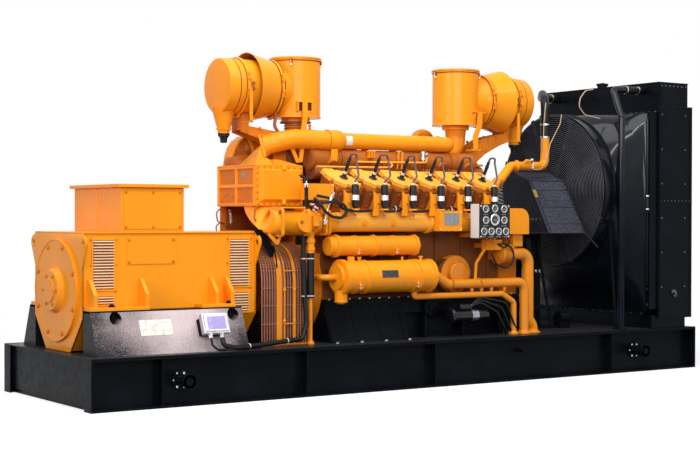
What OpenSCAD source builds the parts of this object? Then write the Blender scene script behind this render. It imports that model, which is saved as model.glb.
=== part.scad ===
// Gas generator set: alternator, twelve-cylinder vee gas engine and fan radiator on one skid.
// X runs along the set from the alternator to the radiator, Y across it, Z up from the floor.
// The origin is the middle of the skid's underside.

/* [Skid] */
// Length of the skid
skid_l = 6100; // [5900:10:6500]
// Width of the skid
skid_w = 1650; // [1600:10:1800]
// Height of the deck's top above the floor
skid_h = 380; // [300:5:400]
// Thickness of the rails' webs
rail_web_t = 12; // [8:1:20]
// Width of the rails' flanges
rail_flange_w = 100; // [70:5:140]
// Thickness of the rails' flanges
rail_flange_t = 16; // [10:1:20]
// Width of the end posts that close the rails
post_w = 125; // [105:5:150]
// Thickness of the deck plate
deck_t = 8; // [5:1:12]
// Number of cross members between the rails
cross_n = 7; // [5:2:9]
// Width of one cross member
cross_w = 80; // [50:5:120]
// Outer diameter of the drain pipes
drain_d = 76; // [60:2:90]

/* [Shaft line] */
// Height of the crankshaft and alternator shaft
shaft_h = 835; // [820:5:850]

/* [Alternator] */
// Position of the alternator's rear face
alt_x = -2950; // [-2970:5:-2930]
// Length of the alternator
alt_l = 1476; // [1440:2:1480]
// Width of the alternator's frame
alt_w = 854; // [800:2:870]
// Height of the alternator's top plate
alt_top = 1275; // [1240:5:1300]
// Thickness of the end plates
end_plate_t = 15; // [10:1:20]
// Amount the end plates stand proud of the frame's sides
end_plate_lip = 8; // [4:1:12]
// Thickness of the top plate
top_plate_t = 13; // [8:1:18]
// Radius of the rear cover disc
end_cover_r = 385; // [340:5:395]
// Thickness of the rear cover disc
end_cover_t = 20; // [12:1:25]
// Radius of the bearing hub
bearing_r = 160; // [120:5:180]
// Depth of the bearing hub
bearing_t = 45; // [30:1:60]
// Radius of the eyes in the lifting lugs
lug_eye_r = 22; // [16:1:28]
// Thickness of the bolted covers
cover_t = 6; // [4:1:10]

/* [Alternator feet] */
// Height of the pedestals' tops
pedestal_top = 700; // [690:2:705]
// Distance from the frame's side to the outer edge of a pedestal's top
pedestal_top_y = 133; // [118:5:173]
// Distance from the frame's side to the outer edge of a pedestal's foot
pedestal_foot_y = 263; // [233:5:293]
// Gap between the frame's side and the inner side of a pedestal
pedestal_inner_y = 21; // [19:1:33]
// Length of a pedestal
pedestal_l = 1258; // [1240:2:1280]
// Thickness of the foot plates
foot_t = 26; // [18:1:30]
// Distance that the foot plates reach out from the frame
foot_reach = 133; // [110:1:150]
// Thickness of the feet's gussets
gusset_t = 30; // [15:1:35]
// Height of the gussets at the frame
gusset_h = 200; // [150:5:220]

/* [Terminal box] */
// Length of the terminal box
terminal_l = 524; // [450:2:600]
// Width of the terminal box
terminal_w = 840; // [780:5:850]
// Height of the terminal box
terminal_h = 330; // [280:5:360]
// Overhang of the lid
terminal_lip = 30; // [20:1:40]
// Thickness of the lid
terminal_lid_t = 26; // [15:1:35]

/* [Engine] */
// Position of the crankcase's flywheel end
engine_x = -860; // [-870:5:-850]
// Length of the crankcase
engine_l = 1860; // [1850:5:1900]
// Half of the angle between the two banks
bank_a = 30; // [28:0.5:32]
// Distance between neighbouring cylinders
cyl_pitch = 288; // [280:1:292]
// Position of the middle of the row of cylinders
cyl_mid_x = 20; // [0:5:40]
// Distance from the shaft to the crankcase's deck
deck_d = 760; // [750:2:770]
// Height of a cylinder head along the bank
head_h = 220; // [200:2:230]
// Width of a cylinder head across the bank
head_w = 260; // [240:2:266]
// Length of a cylinder head along the engine
head_l = 236; // [220:2:250]
// Thickness of the head covers
head_cover_t = 28; // [20:1:35]
// Half width of the crankcase
case_w = 400; // [390:2:405]
// Height of the crankcase's underside
case_bottom = 720; // [710:2:730]
// Half width of the engine bed
bed_w = 470; // [440:5:490]
// Height of the engine bed's ledge
bed_ledge_h = 126; // [100:2:150]
// Outward slope of the sump's side plates
sump_flare = 100; // [60:5:120]
// Diameter of the flywheel housing
flywheel_d = 870; // [820:5:880]
// Thickness of the flywheel housing
flywheel_t = 170; // [160:2:180]

/* [Charge air] */
// Distance from the centre line to the charge pipes
charge_y = 200; // [190:2:210]
// Height of the charge pipes above the shaft
charge_z = 1200; // [1195:1:1210]
// Radius of the charge pipes
charge_r = 80; // [70:1:84]
// Position of the intercooler's rear face
cooler_x = -1410; // [-1420:2:-1400]
// Length of the intercooler along the set
cooler_l = 446; // [430:2:450]
// Width of the intercooler across the set
cooler_w = 600; // [560:2:620]
// Height of the intercooler
cooler_h = 326; // [320:2:330]
// Height of the intercooler's underside above the shaft
cooler_z = 640; // [635:1:645]
// Distance from the centre line to the intake manifolds
intake_y = 530; // [526:1:540]
// Height of the intake manifolds above the shaft
intake_z = 515; // [510:1:520]
// Radius of the intake manifolds
intake_r = 80; // [70:1:82]

/* [Air cleaners] */
// Distance from the middle of the engine to each air cleaner's drum
drum_x = 845; // [840:1:850]
// Height of the drums' undersides above the shaft
drum_z = 1371; // [1365:2:1377]
// Height of the drums
drum_h = 496; // [480:2:500]
// Radius of the drums
drum_r = 207; // [200:1:212]
// Height of the filters' axis above the shaft
filter_z = 1605; // [1600:1:1610]
// Radius of the filters' dust bowls
filter_r = 226; // [215:1:230]
// Radius of the rain collars at their open ends
collar_r = 285; // [275:1:290]
// Distance from the middle of a drum to the outer face of its filter
filter_l = 743; // [735:1:750]

/* [Coolers and water pipes] */
// Distance from the centre line to the oil cooler
oil_cooler_y = 560; // [556:2:570]
// Height of the oil cooler above the shaft
oil_cooler_z = 323; // [315:2:335]
// Radius of the oil cooler
oil_cooler_r = 80; // [70:1:84]
// Distance from the centre line to the heat exchanger
exchanger_y = 610; // [600:2:620]
// Height of the heat exchanger above the shaft
exchanger_z = 73; // [65:2:80]
// Radius of the heat exchanger
exchanger_r = 130; // [120:1:132]
// Radius of the large water pipes
water_r = 40; // [36:1:48]
// Radius of the small water pipes
drain_pipe_r = 26; // [16:1:28]

/* [Fan] */
// Position of the fan guard
fan_x = 2000; // [1990:5:2010]
// Height of the fan's centre
fan_z = 1645; // [1640:1:1650]
// Radius of the fan guard
fan_r = 705; // [690:5:715]
// Number of blades
blade_n = 8; // [6:1:10]
// Gap between the blades' tips and the shroud's ring
tip_gap = 20; // [10:1:40]

/* [Radiator] */
// Position of the radiator's face toward the engine
rad_x = 2470; // [2465:5:2475]
// Thickness of the radiator
rad_t = 485; // [475:5:500]
// Width of the radiator
rad_w = 1600; // [1580:5:1610]
// Height of the radiator's underside
rad_z = 500; // [480:5:520]
// Height of the radiator's core
rad_h = 1860; // [1840:5:1880]
// Height of the radiator's header tank
tank_h = 276; // [260:2:290]
// Thickness of the radiator's side panels
side_t = 25; // [15:1:30]

/* [Hidden] */
$fn = 48;

amber = "orange";
black = "dimgray";

// Heights above the floor of what the engine carries
charge_h = shaft_h + charge_z;
cooler_foot = shaft_h + cooler_z;
intake_h = shaft_h + intake_z;
drum_foot = shaft_h + drum_z;
filter_h = shaft_h + filter_z;
oil_cooler_h = shaft_h + oil_cooler_z;
exchanger_h = shaft_h + exchanger_z;
deck_z = skid_h;
rail_h = skid_h - deck_t;

// Slices along a rounded corner of a pipe
corner_n = 5;
// Sides of a pipe's section
pipe_sides = 14;

// A route is a list of points; these functions round its corners and sweep a tube along it.
function unit(v) = v / norm(v);
function corner(a, b, c, r) =
  let (u = unit(a - b), w = unit(c - b))
  let (half = acos(max(-1, min(1, u * w))) / 2, reach = r / tan(half))
  let (middle = b + unit(u + w) * (r / sin(half)), start = b + u * reach)
  let (e0 = unit(start - middle), stop = b + w * reach - middle)
  let (e1 = unit(stop - e0 * (stop * e0)))
  [for (i = [0:corner_n])
    let (t = i * (180 - 2 * half) / corner_n) middle + r * (cos(t) * e0 + sin(t) * e1)];
function rounded(route, r) = concat(
  [route[0]],
  [for (i = [1:1:len(route) - 2]) each corner(route[i - 1], route[i], route[i + 1], r)],
  [route[len(route) - 1]]);
function tangents(p) =
  let (d = [for (i = [0:len(p) - 2]) unit(p[i + 1] - p[i])])
  [d[0], for (i = [1:1:len(d) - 1]) unit(d[i - 1] + d[i]), d[len(d) - 1]];
function any_normal(t) = unit(cross(t, abs(t.z) < 0.9 ? [0, 0, 1] : [1, 0, 0]));
function normals(t) = [for (i = 0, n = any_normal(t[0]); i < len(t);
  i = i + 1, n = i < len(t) ? unit(n - t[i] * (n * t[i])) : n) n];

// Tube of radius r along a route whose corners have radius bend
module pipe(route, r, bend, sides = pipe_sides) {
  p = rounded(route, bend);
  t = tangents(p);
  n = normals(t);
  m = len(p);
  ring = [for (i = [0:m - 1], k = [0:sides - 1])
    let (a = 360 * k / sides) p[i] + r * (cos(a) * n[i] + sin(a) * cross(t[i], n[i]))];
  walls = [for (i = [0:m - 2], k = [0:sides - 1])
    let (k2 = (k + 1) % sides)
    [i * sides + k, (i + 1) * sides + k, (i + 1) * sides + k2, i * sides + k2]];
  polyhedron(ring, concat([[for (k = [0:sides - 1]) k]], walls,
    [[for (k = [sides - 1:-1:0]) (m - 1) * sides + k]]), convexity = 6);
}

// Cylinder along X from x0 to x1
module rod_x(x0, x1, y, z, r) {
  translate([x0, y, z]) rotate([0, 90, 0]) cylinder(h = x1 - x0, r = r);
}

// Cylinder along Y from y0 to y1
module rod_y(y0, y1, x, z, r) {
  translate([x, y1, z]) rotate([90, 0, 0]) cylinder(h = y1 - y0, r = r);
}

// Block between two corners
module block(a, b) {
  translate(a) cube(b - a);
}

// Outline in the Y-Z plane drawn out along X from x0 to x1
module slab_x(x0, x1, outline) {
  translate([x0, 0, 0]) rotate([90, 0, 90]) linear_extrude(x1 - x0) polygon(outline);
}

// Outline in the X-Z plane drawn out along Y from y0 to y1
module slab_y(y0, y1, outline) {
  translate([0, y1, 0]) rotate([90, 0, 0]) linear_extrude(y1 - y0) polygon(outline);
}

// Children as they are, and mirrored to the far side
module both_sides() {
  children();
  mirror([0, 1, 0]) children();
}

// ---------------------------------------------------------------- skid

web_y = skid_w / 2 - rail_flange_w;
post_t = 14;
stiffener_at = [-2490, -1250, 0, 1985];
stiffener_t = 12;

// Channel rail with its flanges outward, closed by a post at each end
module rail() {
  half_l = skid_l / 2;
  block([-half_l, web_y, 0], [half_l, web_y + rail_web_t, rail_h]);
  for (z = [0, rail_h - rail_flange_t])
    block([-half_l, web_y, z], [half_l, skid_w / 2, z + rail_flange_t]);
  for (x = [-half_l, half_l - post_t])
    block([x, skid_w / 2 - post_w, 0], [x + post_t, skid_w / 2, rail_h]);
  for (x = stiffener_at)
    block([x, web_y, 0], [x + stiffener_t, skid_w / 2 - 6, rail_h]);
}

end_recess = 30;
end_web_t = 12;
end_sill_h = 34;

module end_beam() {
  x0 = -skid_l / 2 + end_recess;
  block([x0, -web_y, end_sill_h], [x0 + end_web_t, web_y, rail_h]);
  block([x0, -web_y, rail_h - rail_flange_t], [x0 + rail_flange_w, web_y, rail_h]);
  block([x0 + 20, -web_y, 0], [x0 + rail_flange_w, web_y, end_sill_h + 1]);
}

module skid_rails() {
  color(black) both_sides() rail();
}

module skid_beams() {
  span = skid_l - 2 * end_recess - cross_w - 2 * rail_flange_w;
  color(black) {
    end_beam();
    mirror([1, 0, 0]) end_beam();
    for (i = [0:cross_n - 1]) {
      x = -span / 2 + i * span / (cross_n - 1);
      block([x - cross_w / 2, -web_y, 0], [x + cross_w / 2, web_y, rail_h]);
    }
  }
}

module deck_plate() {
  color(black) block([-skid_l / 2, -skid_w / 2, rail_h], [skid_l / 2, skid_w / 2, skid_h]);
}

// Positions of the two drain pipes along the skid
drain_at = [-2310, 2325];
drain_z = 0.5 * skid_h;
drain_reach = 165;
drain_flange_t = 18;
drain_flange_r = 52;
drain_wall = 8;

module drain_stubs() {
  y1 = -web_y - rail_web_t;
  y0 = y1 - drain_reach;
  color(black) for (x = drain_at) difference() {
    union() {
      rod_y(y0, y1, x, drain_z, drain_d / 2);
      rod_y(y0, y0 + drain_flange_t, x, drain_z, drain_flange_r);
      rod_y(y1 - drain_flange_t, y1, x, drain_z, drain_flange_r + 16);
      rod_y(y0 + 70, y0 + 110, x, drain_z, drain_d / 2 + 8);
    }
    rod_y(y0 - 1, y1 - drain_flange_t, x, drain_z, drain_d / 2 - drain_wall);
  }
}

// ---------------------------------------------------------------- alternator

frame_x0 = alt_x + end_plate_t;
frame_x1 = alt_x + alt_l - end_plate_t;
frame_top = alt_top - top_plate_t;
frame_shoulder = shaft_h - 190;
frame_keel_y = alt_w / 4;
keel_z = deck_z + 12;

// Section of the alternator's frame, grown outward by lip
function frame_section(lip) = [
  [-alt_w / 2 - lip, frame_top], [alt_w / 2 + lip, frame_top],
  [alt_w / 2 + lip, frame_shoulder - lip], [frame_keel_y + lip, keel_z - lip],
  [-frame_keel_y - lip, keel_z - lip], [-alt_w / 2 - lip, frame_shoulder - lip]];

module alternator_frame() {
  lip = end_plate_lip + 4;
  color(amber) {
    slab_x(frame_x0, frame_x1, frame_section(0));
    block([alt_x, -alt_w / 2 - lip, frame_top], [alt_x + alt_l, alt_w / 2 + lip, alt_top]);
  }
}

lug_r = 56;
lug_z = frame_top - 70;

module lifting_lug() {
  edge = alt_w / 2 + end_plate_lip;
  difference() {
    union() {
      translate([edge + 24, lug_z]) circle(lug_r);
      polygon([[edge - 20, frame_top], [edge + 10, frame_top],
        [edge + 24 + lug_r * 0.8, lug_z - lug_r * 0.6], [edge, lug_z - 180],
        [edge - 20, lug_z - 180]]);
    }
    translate([edge + 30, lug_z]) circle(lug_eye_r);
  }
}

module end_plate() {
  rotate([90, 0, 90]) linear_extrude(end_plate_t) {
    polygon(frame_section(end_plate_lip));
    lifting_lug();
    mirror([1, 0]) lifting_lug();
  }
}

module alternator_end_plates() {
  color(amber) {
    translate([alt_x, 0, 0]) end_plate();
    translate([frame_x1, 0, 0]) end_plate();
  }
}

module alternator_end_cover() {
  color(amber) {
    rod_x(alt_x - end_cover_t, alt_x, 0, shaft_h, end_cover_r);
    translate([alt_x - end_cover_t, 0, shaft_h]) rotate([0, -90, 0]) {
      cylinder(h = bearing_t, r1 = bearing_r + 15, r2 = bearing_r - 10);
      translate([0, 0, bearing_t]) cylinder(h = 10, r = 0.55 * bearing_r);
    }
  }
}

// Distances across the set of a pedestal's inner side, the edge of its top and the edge of its foot
seat_inner = alt_w / 2 + pedestal_inner_y;
seat_outer = alt_w / 2 + pedestal_top_y;
seat_foot = alt_w / 2 + pedestal_foot_y;

// Bolt pockets in the pedestals' outer sides, measured from the alternator's rear face
keyhole_from = [200, 1180];
keyhole_at = [for (x = keyhole_from) alt_x + x];
keyhole_r = 47;
keyhole_z = pedestal_top - 55;
keyhole_y = seat_outer - 50;
keyhole_slot = 0.55;

module pedestal() {
  difference() {
    slab_x(alt_x + 8, alt_x + 8 + pedestal_l, [
      [seat_inner, pedestal_top], [seat_outer, pedestal_top],
      [seat_foot, deck_z], [seat_inner, deck_z]]);
    for (x = keyhole_at) {
      rod_y(keyhole_y, seat_foot, x, keyhole_z, keyhole_r);
      block([x - keyhole_r * keyhole_slot, keyhole_y, keyhole_z],
        [x + keyhole_r * keyhole_slot, seat_foot, pedestal_top + 1]);
    }
  }
}

module alternator_pedestals() {
  color(black) both_sides() pedestal();
}

// Ranges of the feet and places of their gussets, measured from the alternator's rear face
foot_from = [[end_plate_t, 490], [930, 1218]];
foot_ranges = [for (f = foot_from) [alt_x + f[0], alt_x + f[1]]];
gusset_from = [60, 475, 1064, 1198];
gusset_at = [for (x = gusset_from) alt_x + x];
gusset_edge = 8;

module alternator_feet() {
  y0 = alt_w / 2;
  y1 = y0 + foot_reach;
  z1 = pedestal_top + foot_t;
  color(amber) both_sides() for (f = foot_ranges) {
    block([f[0], y0, pedestal_top], [f[1], y1, z1]);
    for (x = gusset_at) if (x > f[0] && x < f[1])
      slab_x(x - gusset_t / 2, x + gusset_t / 2, [[y0, z1 - 1], [y1 - gusset_edge, z1 - 1],
        [y1 - gusset_edge, z1 + gusset_h * 0.45], [y0 + 30, z1 + gusset_h], [y0, z1 + gusset_h]]);
  }
}

// Louvred openings: start and end from the rear face, then start and end in height
louvre_from = [[93, 257], [1238, 1405]];
louvre_x = [for (f = louvre_from) [alt_x + f[0], alt_x + f[1]]];
louvre_z = [[shaft_h + 18, frame_top - 48], [shaft_h - 180, shaft_h - 35]];
louvre_rim = 14;
slat_pitch = 40;
slat_t = 4;

module louvre(x0, x1, z0, z1) {
  y0 = alt_w / 2;
  difference() {
    block([x0 - louvre_rim, y0, z0 - louvre_rim], [x1 + louvre_rim, y0 + cover_t, z1 + louvre_rim]);
    block([x0, y0 - 1, z0], [x1, y0 + cover_t + 1, z1]);
  }
  for (z = [z0 + slat_pitch / 2:slat_pitch:z1 - slat_pitch / 3])
    block([x0 - 1, y0, z], [x1 + 1, y0 + cover_t - 1, z + slat_t]);
}

module alternator_louvres() {
  high = louvre_z[0];
  low = louvre_z[1];
  foot_clear = 16;
  for (x = louvre_x) louvre(x[0], x[1], high[0], high[1]);
  louvre(louvre_x[0][0] + 14, louvre_x[0][1], pedestal_top + foot_t + foot_clear, low[1]);
  louvre(louvre_x[1][0] + 27, louvre_x[1][1], low[0], low[1]);
}

module alternator_covers() {
  frame_y = alt_w / 2;
  box_y = terminal_w / 2;
  margin = 20;
  color(amber) both_sides() {
    alternator_louvres();
    block([alt_x + 363, frame_y, shaft_h + 198], [alt_x + 763, frame_y + cover_t, frame_top - 32]);
    block([terminal_x0 + margin, box_y, alt_top + margin],
      [terminal_x0 + terminal_l - margin, box_y + cover_t, alt_top + terminal_h - margin]);
  }
}

terminal_x0 = alt_x + 320;

module terminal_box() {
  seam_w = 12;
  seam_t = 5;
  color(amber) {
    block([terminal_x0, -terminal_w / 2, alt_top],
      [terminal_x0 + terminal_l, terminal_w / 2, alt_top + terminal_h]);
    block([terminal_x0 - seam_t, -seam_w / 2, alt_top],
      [terminal_x0 + 1, seam_w / 2, alt_top + terminal_h]);
  }
}

module terminal_box_lid() {
  z0 = alt_top + terminal_h;
  color(amber) block([terminal_x0 - terminal_lip, -terminal_w / 2 - terminal_lip, z0],
    [terminal_x0 + terminal_l + terminal_lip, terminal_w / 2 + terminal_lip, z0 + terminal_lid_t]);
}

// Junction box on the sloping side of the near pedestal
pedestal_lean = atan((seat_foot - seat_outer) / (pedestal_top - deck_z));
junction_x = alt_x + 840;
junction_l = 220;
junction_z = 478;
junction_h = 158;
junction_base_t = 70;
junction_t = 130;
gland_r = 16;
gland_l = 34;

// Children with X along the pedestal, Z up its slope and Y into it
module on_pedestal(x, z) {
  y = seat_foot - (z - deck_z) * tan(pedestal_lean);
  translate([x, -y, z]) rotate([-pedestal_lean, 0, 0]) children();
}

module junction_box() {
  rim = 14;
  color("silver") on_pedestal(junction_x, junction_z) {
    block([rim, -junction_base_t - 1, rim], [junction_l - rim, 0, junction_h - rim]);
    block([0, -junction_t, 0], [junction_l, -junction_base_t, junction_h]);
    for (x = [0.25, 0.68] * junction_l)
      translate([x, -(junction_t + junction_base_t) / 2, -gland_l])
        cylinder(h = gland_l + 1, r = gland_r);
  }
}

// ---------------------------------------------------------------- coupling

flywheel_x0 = engine_x - flywheel_t;
coupling_r = 250;
coupling_hub_r = 110;
coupling_disc_t = 60;
coupling_gap = 20;
alt_end_x = alt_x + alt_l;

module coupling() {
  mid = (alt_end_x + flywheel_x0) / 2;
  color("sienna") {
    rod_x(alt_end_x, flywheel_x0, 0, shaft_h, coupling_hub_r);
    for (x = [mid - coupling_gap / 2 - coupling_disc_t, mid + coupling_gap / 2])
      rod_x(x, x + coupling_disc_t, 0, shaft_h, coupling_r);
  }
}

guard_half_w = 500;
guard_t = 6;
guard_spring_z = 690;
hoop_w = 46;
hoop_t = 10;

// Arch over the shaft: straight sides below a half circle, grown outward by grow
module arch(grow) {
  half = guard_half_w + grow;
  translate([0, guard_spring_z]) circle(half);
  translate([-half, deck_z]) square([2 * half, guard_spring_z - deck_z]);
}

module arch_shell(x0, x1, inner, outer) {
  reach = guard_half_w + outer + 1;
  translate([x0, 0, 0]) rotate([90, 0, 90]) linear_extrude(x1 - x0) difference() {
    intersection() {
      arch(outer);
      translate([-reach, deck_z]) square([2 * reach, 2 * reach]);
    }
    arch(inner);
    translate([-guard_half_w - inner, deck_z - 10]) square([2 * (guard_half_w + inner), 60]);
  }
}

module coupling_guard() {
  x0 = alt_end_x + 2;
  x1 = flywheel_x0 - 2;
  hoops = [x0 + 0.42 * (x1 - x0), x0 + 0.56 * (x1 - x0), x1 - hoop_w];
  color("peru") {
    arch_shell(x0, x1, 0, guard_t);
    for (x = hoops) arch_shell(x, x + hoop_w, guard_t - 1, guard_t + hoop_t);
  }
}

module flywheel_housing() {
  r = flywheel_d / 2;
  color("peru") {
    rod_x(flywheel_x0, engine_x, 0, shaft_h, r);
    block([flywheel_x0 + 20, -case_w, case_bottom], [engine_x, case_w, shaft_h + 0.6 * r]);
  }
}

// ---------------------------------------------------------------- engine

engine_x1 = engine_x + engine_l;
bed_x1 = engine_x1 + 120;
bed_z = case_bottom - bed_ledge_h;
skirt_x1 = engine_x + 0.42 * engine_l;
plinth_inset = 60;
filler_cap_x = 195;
filler_cap_r = 75;

module engine_bed() {
  color(black) {
    block([engine_x, -bed_w, bed_z], [bed_x1, bed_w, case_bottom]);
    slab_x(engine_x + 5, skirt_x1, [[-bed_w, bed_z + 1], [bed_w, bed_z + 1],
      [bed_w + sump_flare, deck_z], [-bed_w - sump_flare, deck_z]]);
    block([skirt_x1 - 1, -bed_w + plinth_inset, deck_z],
      [bed_x1 - plinth_inset, bed_w - plinth_inset, bed_z + 1]);
    rod_y(-bed_w - 40, -bed_w + 1, filler_cap_x, bed_z + 40, filler_cap_r);
  }
}

// Point of a bank: d along the bank from the shaft, s across it outward; [across, height]
function bank(d, s) = [d * sin(bank_a) + s * cos(bank_a), shaft_h + d * cos(bank_a) - s * sin(bank_a)];

deck_half = head_w / 2 - 10;
valley_y = 100;
shoulder_z = shaft_h + (case_w - 4 - deck_half * cos(bank_a)) / tan(bank_a) - deck_half * sin(bank_a);
valley_z = shaft_h + 465;
case_half = [[0, case_bottom], [case_w, case_bottom], [case_w, shoulder_z],
  bank(deck_d, deck_half), bank(deck_d, -deck_half), [valley_y, valley_z], [0, valley_z]];

// Coolant outlet on the near bank, beyond the last cylinder
outlet_x = 902;
outlet_r = 42;
outlet_l = 160;

// Side covers of the oil pump and filters: centre, height, radius and depth
side_discs = [[420, shaft_h + 65, 140, 70], [480, shaft_h + 90, 72, 120]];

module crankcase() {
  foot = bank(deck_d - 1, 0);
  color("darkorange") {
    both_sides() slab_x(engine_x, engine_x1, case_half);
    translate([outlet_x, -foot[0], foot[1]]) rotate([bank_a, 0, 0]) cylinder(h = outlet_l + 1, r = outlet_r);
    for (d = side_discs) rod_y(-case_w - d[3], -case_w + 1, d[0], d[1], d[2]);
  }
}

cyl_n = 6;
function cyl_x(i) = cyl_mid_x + (i - (cyl_n - 1) / 2) * cyl_pitch;

// Children placed in the frame of cylinder i: X along the engine, Y outward, Z along the bank
module on_bank(i, d) {
  p = bank(d, 0);
  translate([cyl_x(i), p[0], p[1]]) rotate([-bank_a, 0, 0]) children();
}

module cylinder_heads() {
  color("darkorange") both_sides() for (i = [0:cyl_n - 1]) on_bank(i, deck_d)
    block([-head_l / 2, -head_w / 2, 0], [head_l / 2, head_w / 2, head_h]);
}

// Outline of a head cover about its spark plug
cover_outline = [[-128, -30], [-20, -132], [105, -132], [118, -70], [75, 40], [-5, 152],
  [-140, 152], [-125, 70]];
plug_well_r = 34;

module head_covers() {
  color(amber) both_sides() for (i = [0:cyl_n - 1]) on_bank(i, deck_d + head_h) difference() {
    linear_extrude(head_cover_t) polygon(cover_outline);
    translate([0, 0, head_cover_t - 14]) cylinder(h = 20, r = plug_well_r);
  }
}

boot_l = 230;
boot_r = 13;
boot_seat = 14;
coil_r = 28;
coil_h = 197;
coil_y = 670;
coil_z = shaft_h + 623;
coil_tip_h = 28;

module ignition_coils() {
  color("black") both_sides() for (i = [0:cyl_n - 1]) {
    translate([cyl_x(i), coil_y, coil_z]) {
      cylinder(h = coil_tip_h, r1 = coil_r / 2, r2 = coil_r);
      translate([0, 0, coil_tip_h]) cylinder(h = coil_h - coil_tip_h, r = coil_r);
    }
    on_bank(i, deck_d + head_h + head_cover_t - boot_seat) {
      cylinder(h = boot_l, r = boot_r);
      cylinder(h = 34, r = plug_well_r - 8);
    }
  }
}

lead_r = 7;
lead_rise = 60;

module plug_leads() {
  boot_top = deck_d + head_h + head_cover_t - boot_seat + boot_l;
  tip = bank(boot_top, 0);
  top = bank(boot_top + lead_rise, 0);
  color("black") both_sides() for (i = [0:cyl_n - 1])
    pipe([[cyl_x(i), tip[0], tip[1]], [cyl_x(i), top[0], top[1]],
      [cyl_x(i) + 70, coil_y, top[1] - 20], [cyl_x(i), coil_y, coil_z + coil_h + lead_rise],
      [cyl_x(i), coil_y, coil_z + coil_h]], lead_r, 22, 8);
}

exhaust_y = 175;
exhaust_z = shaft_h + 935;
exhaust_r = 72;
exhaust_x = [-810, 970];
flange_t = 20;
seat_gap = 0.3;

module exhaust_manifolds() {
  port_r = 48;
  port_l = 220;
  color("chocolate") both_sides() difference() {
    union() {
      rod_x(exhaust_x[0], exhaust_x[1], exhaust_y, exhaust_z, exhaust_r);
      for (i = [0:cyl_n - 1]) {
        rod_x(cyl_x(i) + 118, cyl_x(i) + 118 + flange_t, exhaust_y, exhaust_z, exhaust_r + 12);
        translate([cyl_x(i), exhaust_y, exhaust_z]) rotate([-90 - bank_a, 0, 0])
          cylinder(h = port_l, r = port_r);
      }
    }
    for (i = [0:cyl_n - 1]) on_bank(i, deck_d)
      block([-head_l / 2 - 5, -head_w / 2, -60], [head_l / 2 + 5, head_w / 2, head_h + 60]);
  }
}

turbo_x = 570;
turbo_z = shaft_h + 1130;
turbo_inlet_x = turbo_x + 90;
volute_l = 120;
turbo_r = 140;
turbo_shift = 35;
turbine_x = [300, 410];
turbine_r = 110;
turbo_shaft_r = 60;
saddle_z = exhaust_z + exhaust_r + seat_gap;
saddle_half_w = 240;
saddle_t = 18;

// Turbocharger along +X whose volute has radius r and sits off the centre line by shift
module turbo(r, shift) {
  rod_x(turbo_x - volute_l / 2, turbo_x + volute_l / 2, shift, turbo_z, r);
  rod_x(turbo_x + volute_l / 2 - 1, turbo_inlet_x, 0, turbo_z, neck_r + 14);
  rod_x(turbine_x[1] - 1, turbo_x - volute_l / 2 + 1, 0, turbo_z, turbo_shaft_r);
  rod_x(turbine_x[0], turbine_x[1], 0, turbo_z, turbine_r);
  rod_y(-charge_port_y, 1, turbo_x, charge_h, charge_r);
  block([turbine_x[0] + 20, -70, saddle_z + 1], [turbine_x[1] - 20, 70, turbo_z]);
  block([turbine_x[0] + 10, -saddle_half_w, saddle_z],
    [turbine_x[1] - 40, saddle_half_w, saddle_z + saddle_t]);
}

module turbochargers() {
  color("peru") {
    turbo(turbo_r, turbo_shift);
    mirror([1, 0, 0]) mirror([0, 1, 0]) turbo(charge_port_y, 0);
  }
}

// ---------------------------------------------------------------- charge air

hood_tilt = 15;
hood_x = -1210;
hood_z = shaft_h + 1122;
hood_w = 220;
hood_flange_t = 22;
cooler_x1 = cooler_x + cooler_l;
cooler_top = cooler_foot + cooler_h;
// Distance from the centre line to the turbochargers' outlets
charge_port_y = 105;

module on_hood_flange() {
  translate([hood_x, charge_y, hood_z]) rotate([0, -hood_tilt, 0]) children();
}

// Charge pipe from a hood's flange to the outlet of the turbocharger at port_x
module charge_pipe(port_x) {
  start = [hood_x + hood_flange_t * cos(hood_tilt), charge_y, hood_z + hood_flange_t * sin(hood_tilt)];
  bend_x = hood_x + (charge_h - hood_z) / tan(hood_tilt);
  pipe([start, [bend_x, charge_y, charge_h], [port_x, charge_y, charge_h],
    [port_x, charge_port_y, charge_h]], charge_r, charge_y - charge_port_y - 12, 18);
}

sleeve_x = [-630, -482];
sleeve_t = 14;

module charge_pipes() {
  color(amber) {
    charge_pipe(-turbo_x);
    mirror([0, 1, 0]) charge_pipe(turbo_x);
    rod_x(sleeve_x[0], sleeve_x[1], -charge_y, charge_h, charge_r + sleeve_t);
  }
}

module intercooler() {
  recess = 8;
  bar = 26;
  panel_w = (cooler_w - 3 * bar) / 2;
  panel_h = (cooler_h - 3 * bar) / 2;
  face_rim = 22;
  color(amber) {
    difference() {
      block([cooler_x, -cooler_w / 2, cooler_foot], [cooler_x1, cooler_w / 2, cooler_top]);
      for (i = [0, 1], j = [0, 1])
        translate([cooler_x - 1, -cooler_w / 2 + bar + i * (panel_w + bar),
          cooler_foot + bar + j * (panel_h + bar)])
          cube([recess + 1, panel_w, panel_h]);
    }
    both_sides() hull() {
      block([cooler_x + face_rim, cooler_w / 2 - 1, cooler_foot + face_rim],
        [cooler_x1 - face_rim, cooler_w / 2, cooler_top - face_rim]);
      block([cooler_x + 60, cooler_w / 2, cooler_foot + 55],
        [cooler_x1 - 40, cooler_w / 2 + 34, cooler_top - 40]);
    }
  }
}

stand_t = 20;
stand_inset = 12;

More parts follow.
